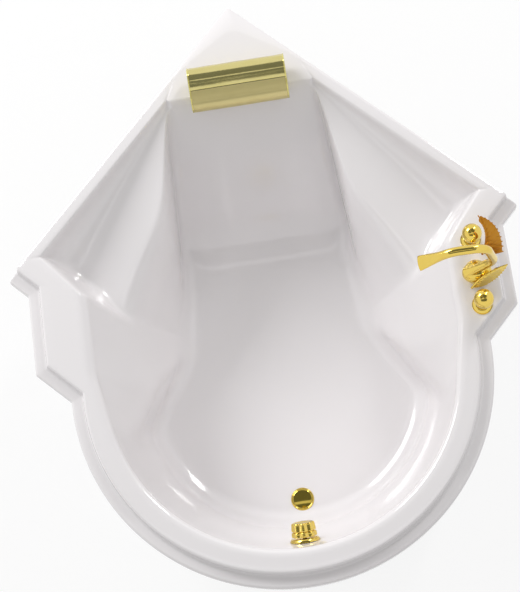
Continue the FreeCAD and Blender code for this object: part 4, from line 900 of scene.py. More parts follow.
    def surface(self) -> np.ndarray:
        """Return the rings of the top surface, from the rolled edge to the waste hole."""
        mouth, crease, foot = (both_sides(level.half())
                               for level in (self.opening, self.crease_line, self.floor_line))
        inwards = (both_sides(self.floor_line.drawn(self.side_fillet).half()) - foot) / self.side_fillet
        start = self.roll_start()
        lean = (crease - mouth) / self.crease
        below = mouth + lean * self.roll_depth
        width = along_ring((0, 104, 114, HALF_RING), (self.head_roll, self.head_roll,
                                                     self.roll, self.roll))
        arms = along_ring((0, 16, 30, 112, 130, HALF_RING), (0.0, 0.0, 1.0, 1.0, 0.0, 0.0))
        fillet = along_ring((0, 18, 60, HALF_RING), (self.head_fillet, self.head_fillet,
                                                    self.side_fillet, self.side_fillet))
        rings, free = [], []
        for share in np.linspace(0.0, 1.0, self.roll_rows, endpoint=False):
            plain = 1.75 * share - 0.75 * share * share
            fine = 0.5 * share ** 1.7 + 0.5 * (1.0 - (1.0 - share) ** 1.25)
            step = plain * (1.0 - arms) + fine * arms
            plan = start + (below - start) * step[:, None]
            rings.append(self._dropped(plan, self._roll_drop(plan, mouth, width, lean)))
            free.append(arms * np.clip((share - 0.12) / 0.15, 0.0, 1.0))
        depth = self.floor - fillet - self.roll_depth
        for share in np.linspace(0.0, 1.0, self.wall_rows, endpoint=False):
            drop = self.roll_depth + depth * share
            rings.append(self._dropped(self._wall(mouth, crease, foot, drop), drop))
            free.append(np.maximum(arms, min(share * 12.0, 1.0)))
        for turn in np.linspace(0.0, QUARTER_TURN, self.fillet_rows):
            drop = self.floor - fillet * (1.0 - math.sin(turn))
            curl = inwards * (fillet * (1.0 - math.cos(turn)))[:, None]
            rings.append(self._dropped(self._wall(mouth, crease, foot, drop) + curl, drop))
            free.append(np.full(len(arms), min((QUARTER_TURN - turn) * 3.0, 1.0)))
        soft = self._softened(np.array(rings), np.array(free))
        return np.concatenate([soft, self._floor_rings(soft[-1])])

    def _softened(self, rings: np.ndarray, free: np.ndarray) -> np.ndarray:
        """Average neighbouring points, as a drawn sheet rounds its own edges.

        Args:
            rings: grid of points (row, column, 3).
            free: how far each point may move, from 0 to 1.

        Returns:
            The softer grid.
        """
        points = rings.copy()
        for _ in range(self.soft_rounds):
            around = (np.roll(points, 1, axis=1) + np.roll(points, -1, axis=1)) / 2.0
            down = points.copy()
            down[1:-1] = (points[2:] + points[:-2]) / 2.0
            points += 0.5 * free[..., None] * ((around + down) / 2.0 - points)
        return points

    def _floor_rings(self, last: np.ndarray) -> np.ndarray:
        """Fill the flat floor.

        Args:
            last: the ring at the foot of the walls.

        Returns:
            Rings from there to the waste hole.
        """
        middle = np.array((0.0, self.waste_back))
        away = last[:, :2] - middle
        away /= np.linalg.norm(away, axis=1)[:, None]
        hole = middle + away * self.waste_radius
        rings = []
        for share in self.floor_rows:
            plan = last[:, :2] + (hole - last[:, :2]) * share
            rings.append(np.column_stack([plan, np.full(len(last), self.floor)]))
        return np.array(rings)

    def _roll_drop(self, plan: np.ndarray, mouth: np.ndarray, width: np.ndarray,
                   lean: np.ndarray) -> np.ndarray:
        """Round the edge of the opening, by each point's distance from it.

        Args:
            plan: plan points.
            mouth: the opening's ring.
            width: width of the rolled edge at every sample.
            lean: how far the wall leans in for each millimetre of drop.

        Returns:
            The drop at each plan point.
        """
        edge = np.roll(mouth, -1, axis=0) - mouth
        long = np.sum(edge * edge, axis=1)
        to = plan[:, None, :] - mouth[None, :, :]
        share = np.clip(np.sum(to * edge[None], axis=2) / np.maximum(long, 1e-9), 0.0, 1.0)
        gap = to - share[..., None] * edge[None]
        distance = np.linalg.norm(gap, axis=2)
        nearest = np.argmin(distance, axis=1)
        pick = np.arange(len(plan))
        cross = edge[nearest, 0] * gap[pick, nearest, 1] - edge[nearest, 1] * gap[pick, nearest, 0]
        outward = np.where(cross > 0.0, -1.0, 1.0) * distance[pick, nearest]
        wide = width[nearest]
        inner = np.linalg.norm(lean[nearest], axis=1) * self.roll_depth
        reach = np.clip(wide - outward, 0.0, None)
        turn = reach / (wide + np.sqrt(np.maximum(wide * wide - (wide - inner) * reach, 1e-6)))
        return self.roll_depth * np.clip(turn, 0.0, 1.0) ** 2

    def _dropped(self, plan: np.ndarray, bowl: np.ndarray) -> np.ndarray:
        """Join the armrests' depth to the bowl's.

        Args:
            plan: plan points.
            bowl: the bowl's drop at each.

        Returns:
            The points, with the deeper of both as their drop.
        """
        arm = self.armrest.depth(plan)
        width = self.arm_blend * np.clip(np.minimum(bowl, arm) / self.arm_blend, 0.0, 1.0)
        return np.column_stack([plan, soft_max(bowl, arm, width)])

    def _wall(self, mouth: np.ndarray, crease: np.ndarray, foot: np.ndarray,
              drop: np.ndarray) -> np.ndarray:
        """Draw the wall's plan, softened where it bends at the crease.

        Args:
            mouth: the opening's ring.
            crease: the ring at the crease.
            foot: the ring at the foot.
            drop: the drop at every sample.

        Returns:
            The plan points.
        """
        upper = (crease - mouth) / self.crease
        lower = (foot - crease) / (self.floor - self.crease)
        past = drop - self.crease
        soft = (past + self.crease_soft) ** 2 / (4.0 * self.crease_soft)
        bend = np.where(np.abs(past) < self.crease_soft, soft, np.maximum(past, 0.0))
        return crease + upper * past[:, None] + (lower - upper) * bend[:, None]

    def moulding(self) -> list[tuple[float, float, float]]:
        """Return the rim's outer section, from the lip up to the deck, as (mould, wall, drop)."""
        turns = [(math.sin(turn), math.cos(turn)) for turn in QUARTER_TURN * np.linspace(0.25, 1.0, 4)]
        cove = self.step_drop - 2.0 * self.step_round
        section = [(self.lip, self.lip, self.lip_drop), (1.2, 1.2, self.lip_drop),
                   (0.3, 0.3, self.lip_drop - 0.4), (0.0, 0.0, self.lip_drop - 1.4),
                   (0.0, 0.0, self.step_drop)]
        section += [(self.step_round * (1.0 - cos), 0.0, self.step_drop - self.step_round * sin)
                    for sin, cos in turns]
        section.append((self.ledge_in, 0.0, self.step_drop - self.step_round - self.ledge_fall))
        section += [(self.ledge_in + self.step_round * sin, 0.0, cove + self.step_round * cos)
                    for sin, cos in turns]
        section.append((self.rise_in, 0.0, self.deck_round))
        section += [(self.deck_in - self.deck_round * cos, self.wall_ease * share ** 2,
                     self.deck_round * (1.0 - sin))
                    for (sin, cos), share in zip(turns, (0.25, 0.5, 0.75, 1.0))]
        return section

    def _rim_row(self, mould: float, wall: float, drop: float) -> np.ndarray:
        """Return the rim's ring at a drop."""
        ring = self.rim(mould, wall)
        return np.column_stack([ring, np.full(len(ring), drop)])

    def build(self) -> bpy.types.Object:
        """Make the shell's mesh, acrylic above and laminate below."""
        rows = [self._rim_row(*step) for step in self.moulding()]
        deck = rows[-1]
        top = self.surface()
        rows += [deck + (top[0] - deck) * share for share in self.deck_rows]
        outer = len(rows)
        surface = np.array([*rows, *top])
        under = self._underside(surface, outer)
        rings = np.concatenate([surface, under])
        placed = np.stack([rings[..., 0], CORNER_Y - rings[..., 1], RIM_HEIGHT - rings[..., 2]],
                          axis=2) * MM
        draft = Draft()
        draft.grid(placed, round_columns=True, layer=[0] * (len(surface) - 1) + [1] * (len(under) + 1))
        return draft.build("bath_shell_moulded", [Look.ACRYLIC, Look.LAMINATE], sharp=40.0)

    def _underside(self, surface: np.ndarray, outer: int) -> np.ndarray:
        """Set rings behind the surface by the sheet's thickness.

        Args:
            surface: the rings of the whole upper side.
            outer: number of rings before the rolled edge.

        Returns:
            Rings from the waste hole out to the lip.
        """
        around = np.roll(surface, -1, axis=1) - np.roll(surface, 1, axis=1)
        down = np.gradient(surface, axis=0)
        normal = np.cross(around, down)
        long = np.linalg.norm(normal, axis=2)
        normal /= np.maximum(long, 1e-9)[..., None]
        if normal[-2, 0, 2] < 0.0:
            normal = -normal
        normal[long < 1e-6] = UP
        normal[1 - len(self.floor_rows):] = UP
        normal[:outer + 1] = UP
        behind = surface + normal * self.sheet
        picked = range(len(surface) - 1, outer, -self.under_step)
        rows = [*behind[list(picked)], behind[outer]]
        inside = self.deck_in - 1.0
        for mould, drop in ((inside, self.deck_under), (inside, self.ledge_under),
                            (self.lip, self.ledge_under)):
            rows.append(self._rim_row(mould, self.lip, drop))
        return np.array(rows)


# ----------------------------------------------------------------- fittings
TAP_X = 591.0
SPOUT_BACK = 931.997
TAP_PITCH = 96.0


@dataclass
class Tap:
    """Ball knob on a neck, its cap and the collar on the deck."""

    side: str
    back: float
    ball_radius: float = 28.0
    ball_height: float = 65.0
    ball_span: Plan = (39.6, 92.2)
    neck: Sequence[Plan] = ((0.0, 12.0), (15.2, 12.0), (16.0, 12.6), (16.0, 14.4), (15.2, 15.0),
                            (12.6, 15.6), (11.4, 17.0), (10.8, 20.0), (10.6, 26.0), (10.7, 33.0),
                            (11.3, 37.0))
    crown: Sequence[Plan] = ((6.3, 91.4), (0.0, 91.2))
    cap: Sequence[Plan] = ((0.0, 90.4), (5.95, 90.4), (5.95, 92.4), (5.5, 92.9), (2.2, 93.0), (0.0, 93.0))
    collar: Sequence[Plan] = ((13.8, 0.0), (28.4, 0.0), (29.0, 0.6), (29.0, 2.2), (28.2, 3.0),
                              (26.3, 3.1), (25.4, 3.8), (22.6, 7.4), (19.4, 9.6), (18.2, 10.0),
                              (13.8, 10.0), (13.8, 0.0))

    def ball(self) -> list[Plan]:
        """Return the ball's (radius, height) points, bottom first."""
        start, end = (math.asin((height - self.ball_height) / self.ball_radius)
                      for height in self.ball_span)
        return [(self.ball_radius * math.cos(turn), self.ball_height + self.ball_radius * math.sin(turn))
                for turn in np.linspace(start, end, 30)]

    def build(self) -> list[bpy.types.Object]:
        """Make the knob, its cap and the collar."""
        body = self.side + "_tap_knob"
        pieces = (("_ball_knob", [*self.neck, *self.ball(), *self.crown], 72, body, "_knob"),
                  ("_ball_cap", self.cap, 40, body, "_knob_cap"),
                  ("_deck_collar", self.collar, 72, "bath", "_collar"))
        made = []
        for name, profile, steps, rides_on, node in pieces:
            draft = Draft()
            draft.lathe(profile, spot(TAP_X, self.back), steps=steps)
            made.append(finished(draft.build(self.side + name, [Look.GOLD]), rides_on, "gold",
                                 self.side + node))
        return made


def feather() -> bpy.types.Object:
    """Return a pointed feather of unit length, width and thickness along X."""
    rows = []
    for t in np.linspace(0.0, 1.0, 13):
        half = 0.5 * min(1.0, 0.5 + 1.2 * t) * (1.0 - max(t - 0.55, 0.0) / 0.45 * 0.97) ** 0.62
        lift = 0.3 * math.sin(math.pi * min(t * 1.1, 1.0))
        ring = []
        for angle in range(0, 360, 30):
            across, up = math.cos(math.radians(angle)), math.sin(math.radians(angle))
            y = half * across
            quill = 0.5 * math.exp(-(y / 0.09) ** 2) * (1.0 - t) if up > 0.0 else 0.0
            ring.append((t, y, 0.5 * up * (1.0 - 0.4 * t) + lift + quill))
        rows.append(ring)
    draft = Draft()
    draft.grid(np.array(rows))
    draft.fan(np.array(rows[0]))
    draft.fan(np.array(rows[-1]))
    return draft.build("feather", [Look.GOLD])


def pulled(start: Plan, pull: Plan, end: Plan, share: float) -> np.ndarray:
    """Return a point on the curve between two points that a third one pulls.

    Args:
        start: first point.
        pull: the point that pulls the curve.
        end: last point.
        share: place along the curve, from 0 to 1.

    Returns:
        The point on the curve.
    """
    keep = 1.0 - share
    middle = 2.0 * share * keep * np.array(pull)
    return keep * keep * np.array(start) + middle + share * share * np.array(end)


@dataclass
class Wing:
    """Pointed feathers in layers on a thin membrane, with a rounded leading edge.

    Its points lie on a plane through the origin, (along across, along rise).
    Each layer is (count, reach, lift off the plane, feather width).
    """

    name: str
    node: str
    origin: Vector
    across: Vector
    rise: Vector
    look: Look
    tip: Plan
    trail_pull: Plan
    root: Plan
    lead_start: Plan
    lead_pull: Plan
    spread: float
    layers: Sequence[tuple[int, float, float, float]]
    edge: float = 3.4
    feather_thick: float = 1.6
    web: Plan = (0.9, 0.7)
    web_span: Plan = (0.02, 0.93)

    def place(self, point: Sequence[float], lift: float) -> Vector:
        """Set a point of the plane in the frame.

        Args:
            point: the point, in millimetres.
            lift: height off the plane.

        Returns:
            The point, in metres.
        """
        normal = self.across.cross(self.rise)
        offset = self.across * float(point[0]) + self.rise * float(point[1]) + normal * lift
        return self.origin + offset * MM

    def lead(self, share: float) -> np.ndarray:
        """Return a point of the leading edge, from the breast to the tip."""
        return pulled(self.lead_start, self.lead_pull, self.tip, share)

    def quills(self) -> list[Placed]:
        """Return where each feather lies, its turn and its size."""
        normal = self.across.cross(self.rise)
        found = []
        for side in (1.0, -1.0):
            for count, reach, lift, width in self.layers:
                for k in range(count):
                    base = self.lead(self.spread * (1.0 - (k + 0.5) / count))
                    tip = pulled(self.tip, self.trail_pull, self.root, (k + 0.6) / count)
                    start = self.place(base, side * (lift + 0.12 * (k % 2)))
                    finish = self.place(base + (tip - base) * reach, side * (lift * 0.5 + 0.25 * (k % 2)))
                    along = (finish - start).normalized()
                    out = (normal * side - along * along.dot(normal * side)).normalized()
                    turn = Matrix((along, out.cross(along), out)).transposed()
                    size = Vector(((finish - start).length, width * MM, self.feather_thick * MM))
                    found.append((start, turn, size))
        return found

    def membrane(self, draft: Draft) -> None:
        """Add the thin plate between the leading and the trailing edge.

        Args:
            draft: the mesh that it joins.
        """
        sheets = []
        shares = np.linspace(0.0, 1.0, 7)
        for side in (1.0, -1.0):
            sheet = []
            for t in np.linspace(*self.web_span, 22):
                lead = self.lead(t)
                trail = pulled(self.root, self.trail_pull, self.tip, t)
                sheet.append([self.place(lead + (trail - lead) * (self.web_span[1] * share),
                                         side * (self.web[0] - self.web[1] * share)) for share in shares])
            sheets.append(np.array(sheet))
            draft.grid(sheets[-1], round_rows=False)
        draft.grid(np.array([np.concatenate([sheet[:, 0], sheet[-1, 1:], sheet[-2::-1, -1],
                                             sheet[0, -2:0:-1]]) for sheet in sheets]))

    def build(self, instancer: Instancer) -> bpy.types.Object:
        """Make the wing.

        Args:
            instancer: the tree that repeats the feather.

        Returns:
            The finished piece.
        """
        feathers = instancer.run(self.name + "_feathers", self.quills(), feather(), self.look)
        flock = shown(self.name + "_feathers", feathers, 40.0)
        bone = Draft()
        path = np.array([self.place(self.lead(t), 0.0) for t in np.linspace(0.0, 0.99, 28)])
        bone.tube(path, list(self.edge * np.linspace(1.0, 0.3, 28) ** 0.6), 14)
        self.membrane(bone)
        web = bone.build(self.name + "_bone", [self.look])
        return finished(joined(self.name, [flock, web], 40.0), "bath", "gold", self.node)


@dataclass
class Swan:
    """Swan spout: base, body, neck with a flared bill, and two wings."""

    route: Sequence[Plan] = ((-29.0, 40.0), (41.0, 124.0), (8.0, 266.0), (-81.0, 272.0), (-142.0, 229.0))
    bends: Sequence[float] = (0.0, 58.0, 52.0, 60.0, 0.0)
    ahead: float = 8.0
    neck: float = 12.5
    neck_waist: float = 0.7
    root_flare: Plan = (5.0, 60.0)
    bill: float = 34.0
    bill_flare: float = 79.0
    bill_half: Plan = (21.6, 7.8)
    bill_swell: float = 0.9
    mouth: Sequence[tuple[float, float, float]] = (
        (-0.5, 21.2, 7.6), (-1.0, 20.2, 6.6), (-0.6, 19.0, 5.6), (3.0, 17.4, 4.9),
        (9.0, 12.0, 4.6), (14.0, 8.0, 4.4), (15.0, 4.0, 2.6), (15.0, 0.0, 0.0))
    body_place: Plan = (-2.0, 31.76)
    body_half: Sequence[float] = (42.0, 32.0, 33.0)
    shank: Plan = (13.45, -66.0)
    foot: Sequence[Plan] = ((35.4, 0.0), (36.0, 0.8), (36.0, 2.6), (35.0, 3.6), (32.6, 4.2), (31.8, 5.4),
                            (31.2, 7.2), (30.2, 8.0), (0.0, 8.0))
    raised_lean: float = math.radians(30.0)
    folded_lean: float = math.radians(15.0)
    folded_splay: float = math.radians(12.0)

    def centreline(self) -> np.ndarray:
        """Return the neck's centreline as (x, height) points."""
        pieces = [np.array([self.route[0]])]
        for k in range(1, len(self.route) - 1):
            pieces.append(corner_arc(*self.route[k - 1:k + 2], self.bends[k], 28))
        pieces.append(np.array([self.route[-1]]))
        line = np.concatenate(pieces)
        return np.vstack([sampled(line, 110), line[-1:]])

    def _ring(self, centre: np.ndarray, along: np.ndarray, wide: float, thick: float) -> np.ndarray:
        """Draw an ellipse across the neck.

        Args:
            centre: point of the neck's upright plane.
            along: the neck's direction there.
            wide: half width, across the plane.
            thick: half thickness, in the plane.

        Returns:
            The ring's points, in metres.
        """
        angles = np.linspace(0.0, FULL_TURN, 48, endpoint=False)
        across = np.array((0.0, 1.0, 0.0))
        upward = np.array((-along[1], 0.0, along[0]))
        middle = np.array(spot(TAP_X + centre[0], SPOUT_BACK + self.ahead, -centre[1]))
        ring = wide * np.outer(np.cos(angles), across) + thick * np.outer(np.sin(angles), upward)
        return middle + MM * ring

    def build_neck(self) -> bpy.types.Object:
        """Make the neck, the head and the open bill."""
        line = self.centreline()
        ahead = np.gradient(line, axis=0)
        ahead /= np.linalg.norm(ahead, axis=1)[:, None]
        run = np.concatenate([[0.0], np.cumsum(np.linalg.norm(np.diff(line, axis=0), axis=1))])
        flare_start = run[-1] + self.bill - self.bill_flare
        beyond = self.bill * np.linspace(0.1, 1.0, 12)
        line = np.vstack([line, line[-1] + np.outer(beyond, ahead[-1])])
        ahead = np.vstack([ahead, np.repeat(ahead[-1:], len(beyond), axis=0)])
        run = np.concatenate([run, run[-1] + beyond])
        rows = []
        for point, along, walked in zip(line, ahead, run):
            root = self.root_flare[0] * max(1.0 - walked / self.root_flare[1], 0.0) ** 2
            waist = self.neck_waist * math.sin(math.pi * min(walked / flare_start, 1.0)) ** 2
            size = self.neck + root - waist
            share = min(max((walked - flare_start) / self.bill_flare, 0.0), 1.0)
            ease = share * share * (3.0 - 2.0 * share)
            wide = size + (self.bill_half[0] - size) * (0.6 * ease + 0.4 * share ** 1.6)
            thick = size + (self.bill_half[1] - size) * ease + self.bill_swell * math.sin(math.pi * share)
            rows.append(self._ring(point, along, wide, thick))
        for back, wide, thick in self.mouth:
            rows.append(self._ring(line[-1] - ahead[-1] * back, ahead[-1], wide, thick))
        draft = Draft()
        draft.grid(np.array(rows))
        draft.fan(rows[0])
        return finished(draft.build("swan_neck", [Look.GOLD], 50.0), "bath", "gold", "spout_neck")

    def build_body(self) -> bpy.types.Object:
        """Make the rounded body, flat where it sits on the foot."""
        centre = spot(TAP_X + self.body_place[0], SPOUT_BACK + self.ahead, -self.body_place[1])
        seat = (RIM_HEIGHT + self.foot[-1][1]) * MM
        long, wide, high = self.body_half
        rows = []
        for up in np.linspace(-QUARTER_TURN, QUARTER_TURN, 33):
            ring = []
            for around in np.linspace(0.0, FULL_TURN, 64, endpoint=False):
                reach = math.cos(up)
                offset = (long * reach * math.cos(around), wide * reach * math.sin(around),
                          high * math.sin(up))
                point = centre + Vector(offset) * MM
                ring.append((point.x, point.y, max(point.z, seat)))
            rows.append(ring)
        draft = Draft()
        draft.grid(np.array(rows))
        return finished(draft.build("swan_body", [Look.GOLD]), "bath", "gold", "spout_body")

    def build_base(self) -> bpy.types.Object:
        """Make the round foot on the deck, with its shank."""
        radius, bottom = self.shank
        base = spot(TAP_X, SPOUT_BACK)
        draft = Draft()
        draft.lathe([self.shank, (radius, 0.0), *self.foot], base, steps=80)
        draft.lathe([(0.0, bottom), self.shank], base, steps=80)
        return finished(draft.build("swan_foot", [Look.GOLD]), "bath", "gold", "spout_base")

    def wings(self) -> list[Wing]:
        """Return the raised wing behind the neck and the folded one before it."""
        lean, fold, splay = self.raised_lean, self.folded_lean, self.folded_splay
        back = SPOUT_BACK + self.ahead
        raised = Wing("swan_raised_wing", "spout_raised_wing", spot(TAP_X, back - 32.0, -60.0),
                      Vector((1, 0, 0)), Vector((0, math.sin(lean), math.cos(lean))), Look.SATIN_GOLD,
                      (9.0, 161.0), (81.0, 122.0), (77.0, 2.0), (17.0, 12.0), (46.0, 88.0), 0.8,
                      ((11, 1.0, 0.6, 17.0), (9, 0.7, 1.5, 14.0), (8, 0.42, 2.3, 12.0)))
        folded = Wing("swan_folded_wing", "spout_folded_wing", spot(TAP_X, back + 40.2, -12.0),
                      Vector((math.cos(splay), math.sin(splay), 0)),
                      Vector((0, math.sin(fold), math.cos(fold))), Look.GOLD,
                      (83.0, 71.0), (66.0, 10.0), (20.0, 1.0), (-24.0, 12.0), (11.0, 77.0), 0.75,
                      ((10, 1.0, 0.6, 15.0), (8, 0.7, 1.5, 13.0), (7, 0.42, 2.2, 12.0)))
        return [raised, folded]

    def build(self, instancer: Instancer) -> list[bpy.types.Object]:
        """Make all of the spout.

        Args:
            instancer: the tree that repeats the feathers.

        Returns:
            The finished pieces.
        """
        return [self.build_base(), self.build_body(), self.build_neck(),
                *(wing.build(instancer) for wing in self.wings())]


@dataclass
class Waste:
    """Gilt waste flange in the floor, with its lifting plug."""

    back: float = 1437.971
    drop: float = 440.0
    plug_radius: float = 29.6
    plug_edge: float = 3.5
    plug_dome: float = 4.0
    flange: Sequence[Plan] = ((21.0, -30.0), (24.95, -30.0), (24.95, 0.0), (34.6, 0.0), (35.0, 0.5),
                              (34.6, 1.6), (33.4, 3.2), (32.2, 3.9), (31.2, 4.0), (30.4, 3.6),
                              (30.2, 3.0), (30.2, 1.0), (21.0, 1.0), (21.0, -30.0))
    plug_foot: Sequence[Plan] = ((0.0, 2.0), (28.8, 2.0), (29.5, 2.4), (29.6, 3.2))

    def build(self) -> list[bpy.types.Object]:
        """Make the flange and the plug."""
        base = spot(0.0, self.back, self.drop)
        flange = Draft()
        flange.lathe(self.flange, base, steps=96)
        dome = [(self.plug_radius * t, self.plug_edge + self.plug_dome * (1.0 - t * t))
                for t in np.linspace(0.98, 0.0, 14)]
        plug = Draft()
        plug.lathe([*self.plug_foot, *dome], base, steps=96)
        rim = flange.build("waste_rim", [Look.GOLD])
        # The plug takes the darker gold, painted shade for its dark reflections.
        cover = plug.build("waste_cover", [Look.DARKENED_PLUG_GILT])
        return [finished(rim, "bath", "gold", "waste_flange"),
                finished(cover, "waste_plug", "plug_dark", "waste_plug")]


@dataclass
class Overflow:
    """Faceplate and lobed control on the front wall."""

    inwards: Vector = field(default_factory=lambda: Vector((0.0, 0.9709821, 0.239152)))
    hole: Vector = field(default_factory=lambda: Vector((0.0, -0.731887, 0.46)))
    plate: Sequence[Plan] = ((6.2, 2.3), (42.6, 2.3), (43.0, 2.9), (42.4, 5.0), (40.2, 9.2), (38.4, 11.0),
                             (36.0, 11.3), (20.0, 11.3), (6.2, 11.3), (6.2, 2.3))
    tail: Sequence[Plan] = ((20.0, -14.3), (22.9, -14.3), (22.9, 2.4), (20.0, 2.4), (20.0, -14.3))
    lobes: int = 8
    lobe_depth: float = 4.4
    lobe_shape: float = 0.6
    start: float = 15.3
    end: float = 55.3
    steps: int = 160

    def section(self) -> list[tuple[float, float, float]]:
        """Return the control's two tiers as (radius, height, share of the lobes)."""
        start, end = self.start, self.end
        tiers = [(0.0, start, 0.0), (30.0, start, 0.3), (35.4, start + 0.4, 0.7), (36.2, start + 1.6, 1.0),
                 (36.0, 22.0, 1.0), (35.4, 27.4, 1.0), (34.4, 28.7, 0.9), (31.0, 29.2, 0.6),
                 (30.2, 30.2, 0.6), (31.0, 31.2, 0.6), (34.2, 31.7, 0.9), (35.0, 33.0, 1.0)]
        tiers += [(35.0 - 2.2 * t, 33.0 + 18.6 * t, 1.0) for t in np.linspace(0.15, 1, 7)]
        return tiers + [(32.0, end - 2.0, 0.95), (30.4, end - 0.7, 0.85), (28.0, end, 0.7),
                        (25.0, end - 0.3, 0.4), (16.0, end - 2.4, 0.1), (8.0, end - 3.4, 0.0),
                        (0.0, end - 3.7, 0.0)]

    def build_control(self) -> bpy.types.Object:
        """Make the tapered control with its rounded lobes."""
        turn = np.array(UP.rotation_difference(self.inwards).to_matrix())
        angles = np.linspace(0.0, FULL_TURN, self.steps, endpoint=False)
        flute = 1.0 - (0.5 + 0.5 * np.cos(self.lobes * angles)) ** self.lobe_shape
        rows = []
        for radius, height, share in self.section():
            size = radius - self.lobe_depth * share * flute
            ring = np.column_stack([size * np.cos(angles), size * np.sin(angles),
                                    np.full(self.steps, height)]) * MM
            rows.append(ring @ turn.T + np.array(self.hole))
        draft = Draft()
        draft.grid(np.array(rows))
        control = draft.build("overflow_control_knob", [Look.GOLD], 40.0)
        return finished(control, "overflow_control", "gold", "overflow_knob")

    def build(self) -> list[bpy.types.Object]:
        """Make the faceplate and the control."""
        draft = Draft()
        draft.lathe(self.plate, self.hole, self.inwards, 96)
        draft.lathe(self.tail, self.hole, self.inwards, 64)
        face = draft.build("overflow_plate", [Look.GOLD])
        return [finished(face, "bath", "gold", "overflow_faceplate"), self.build_control()]


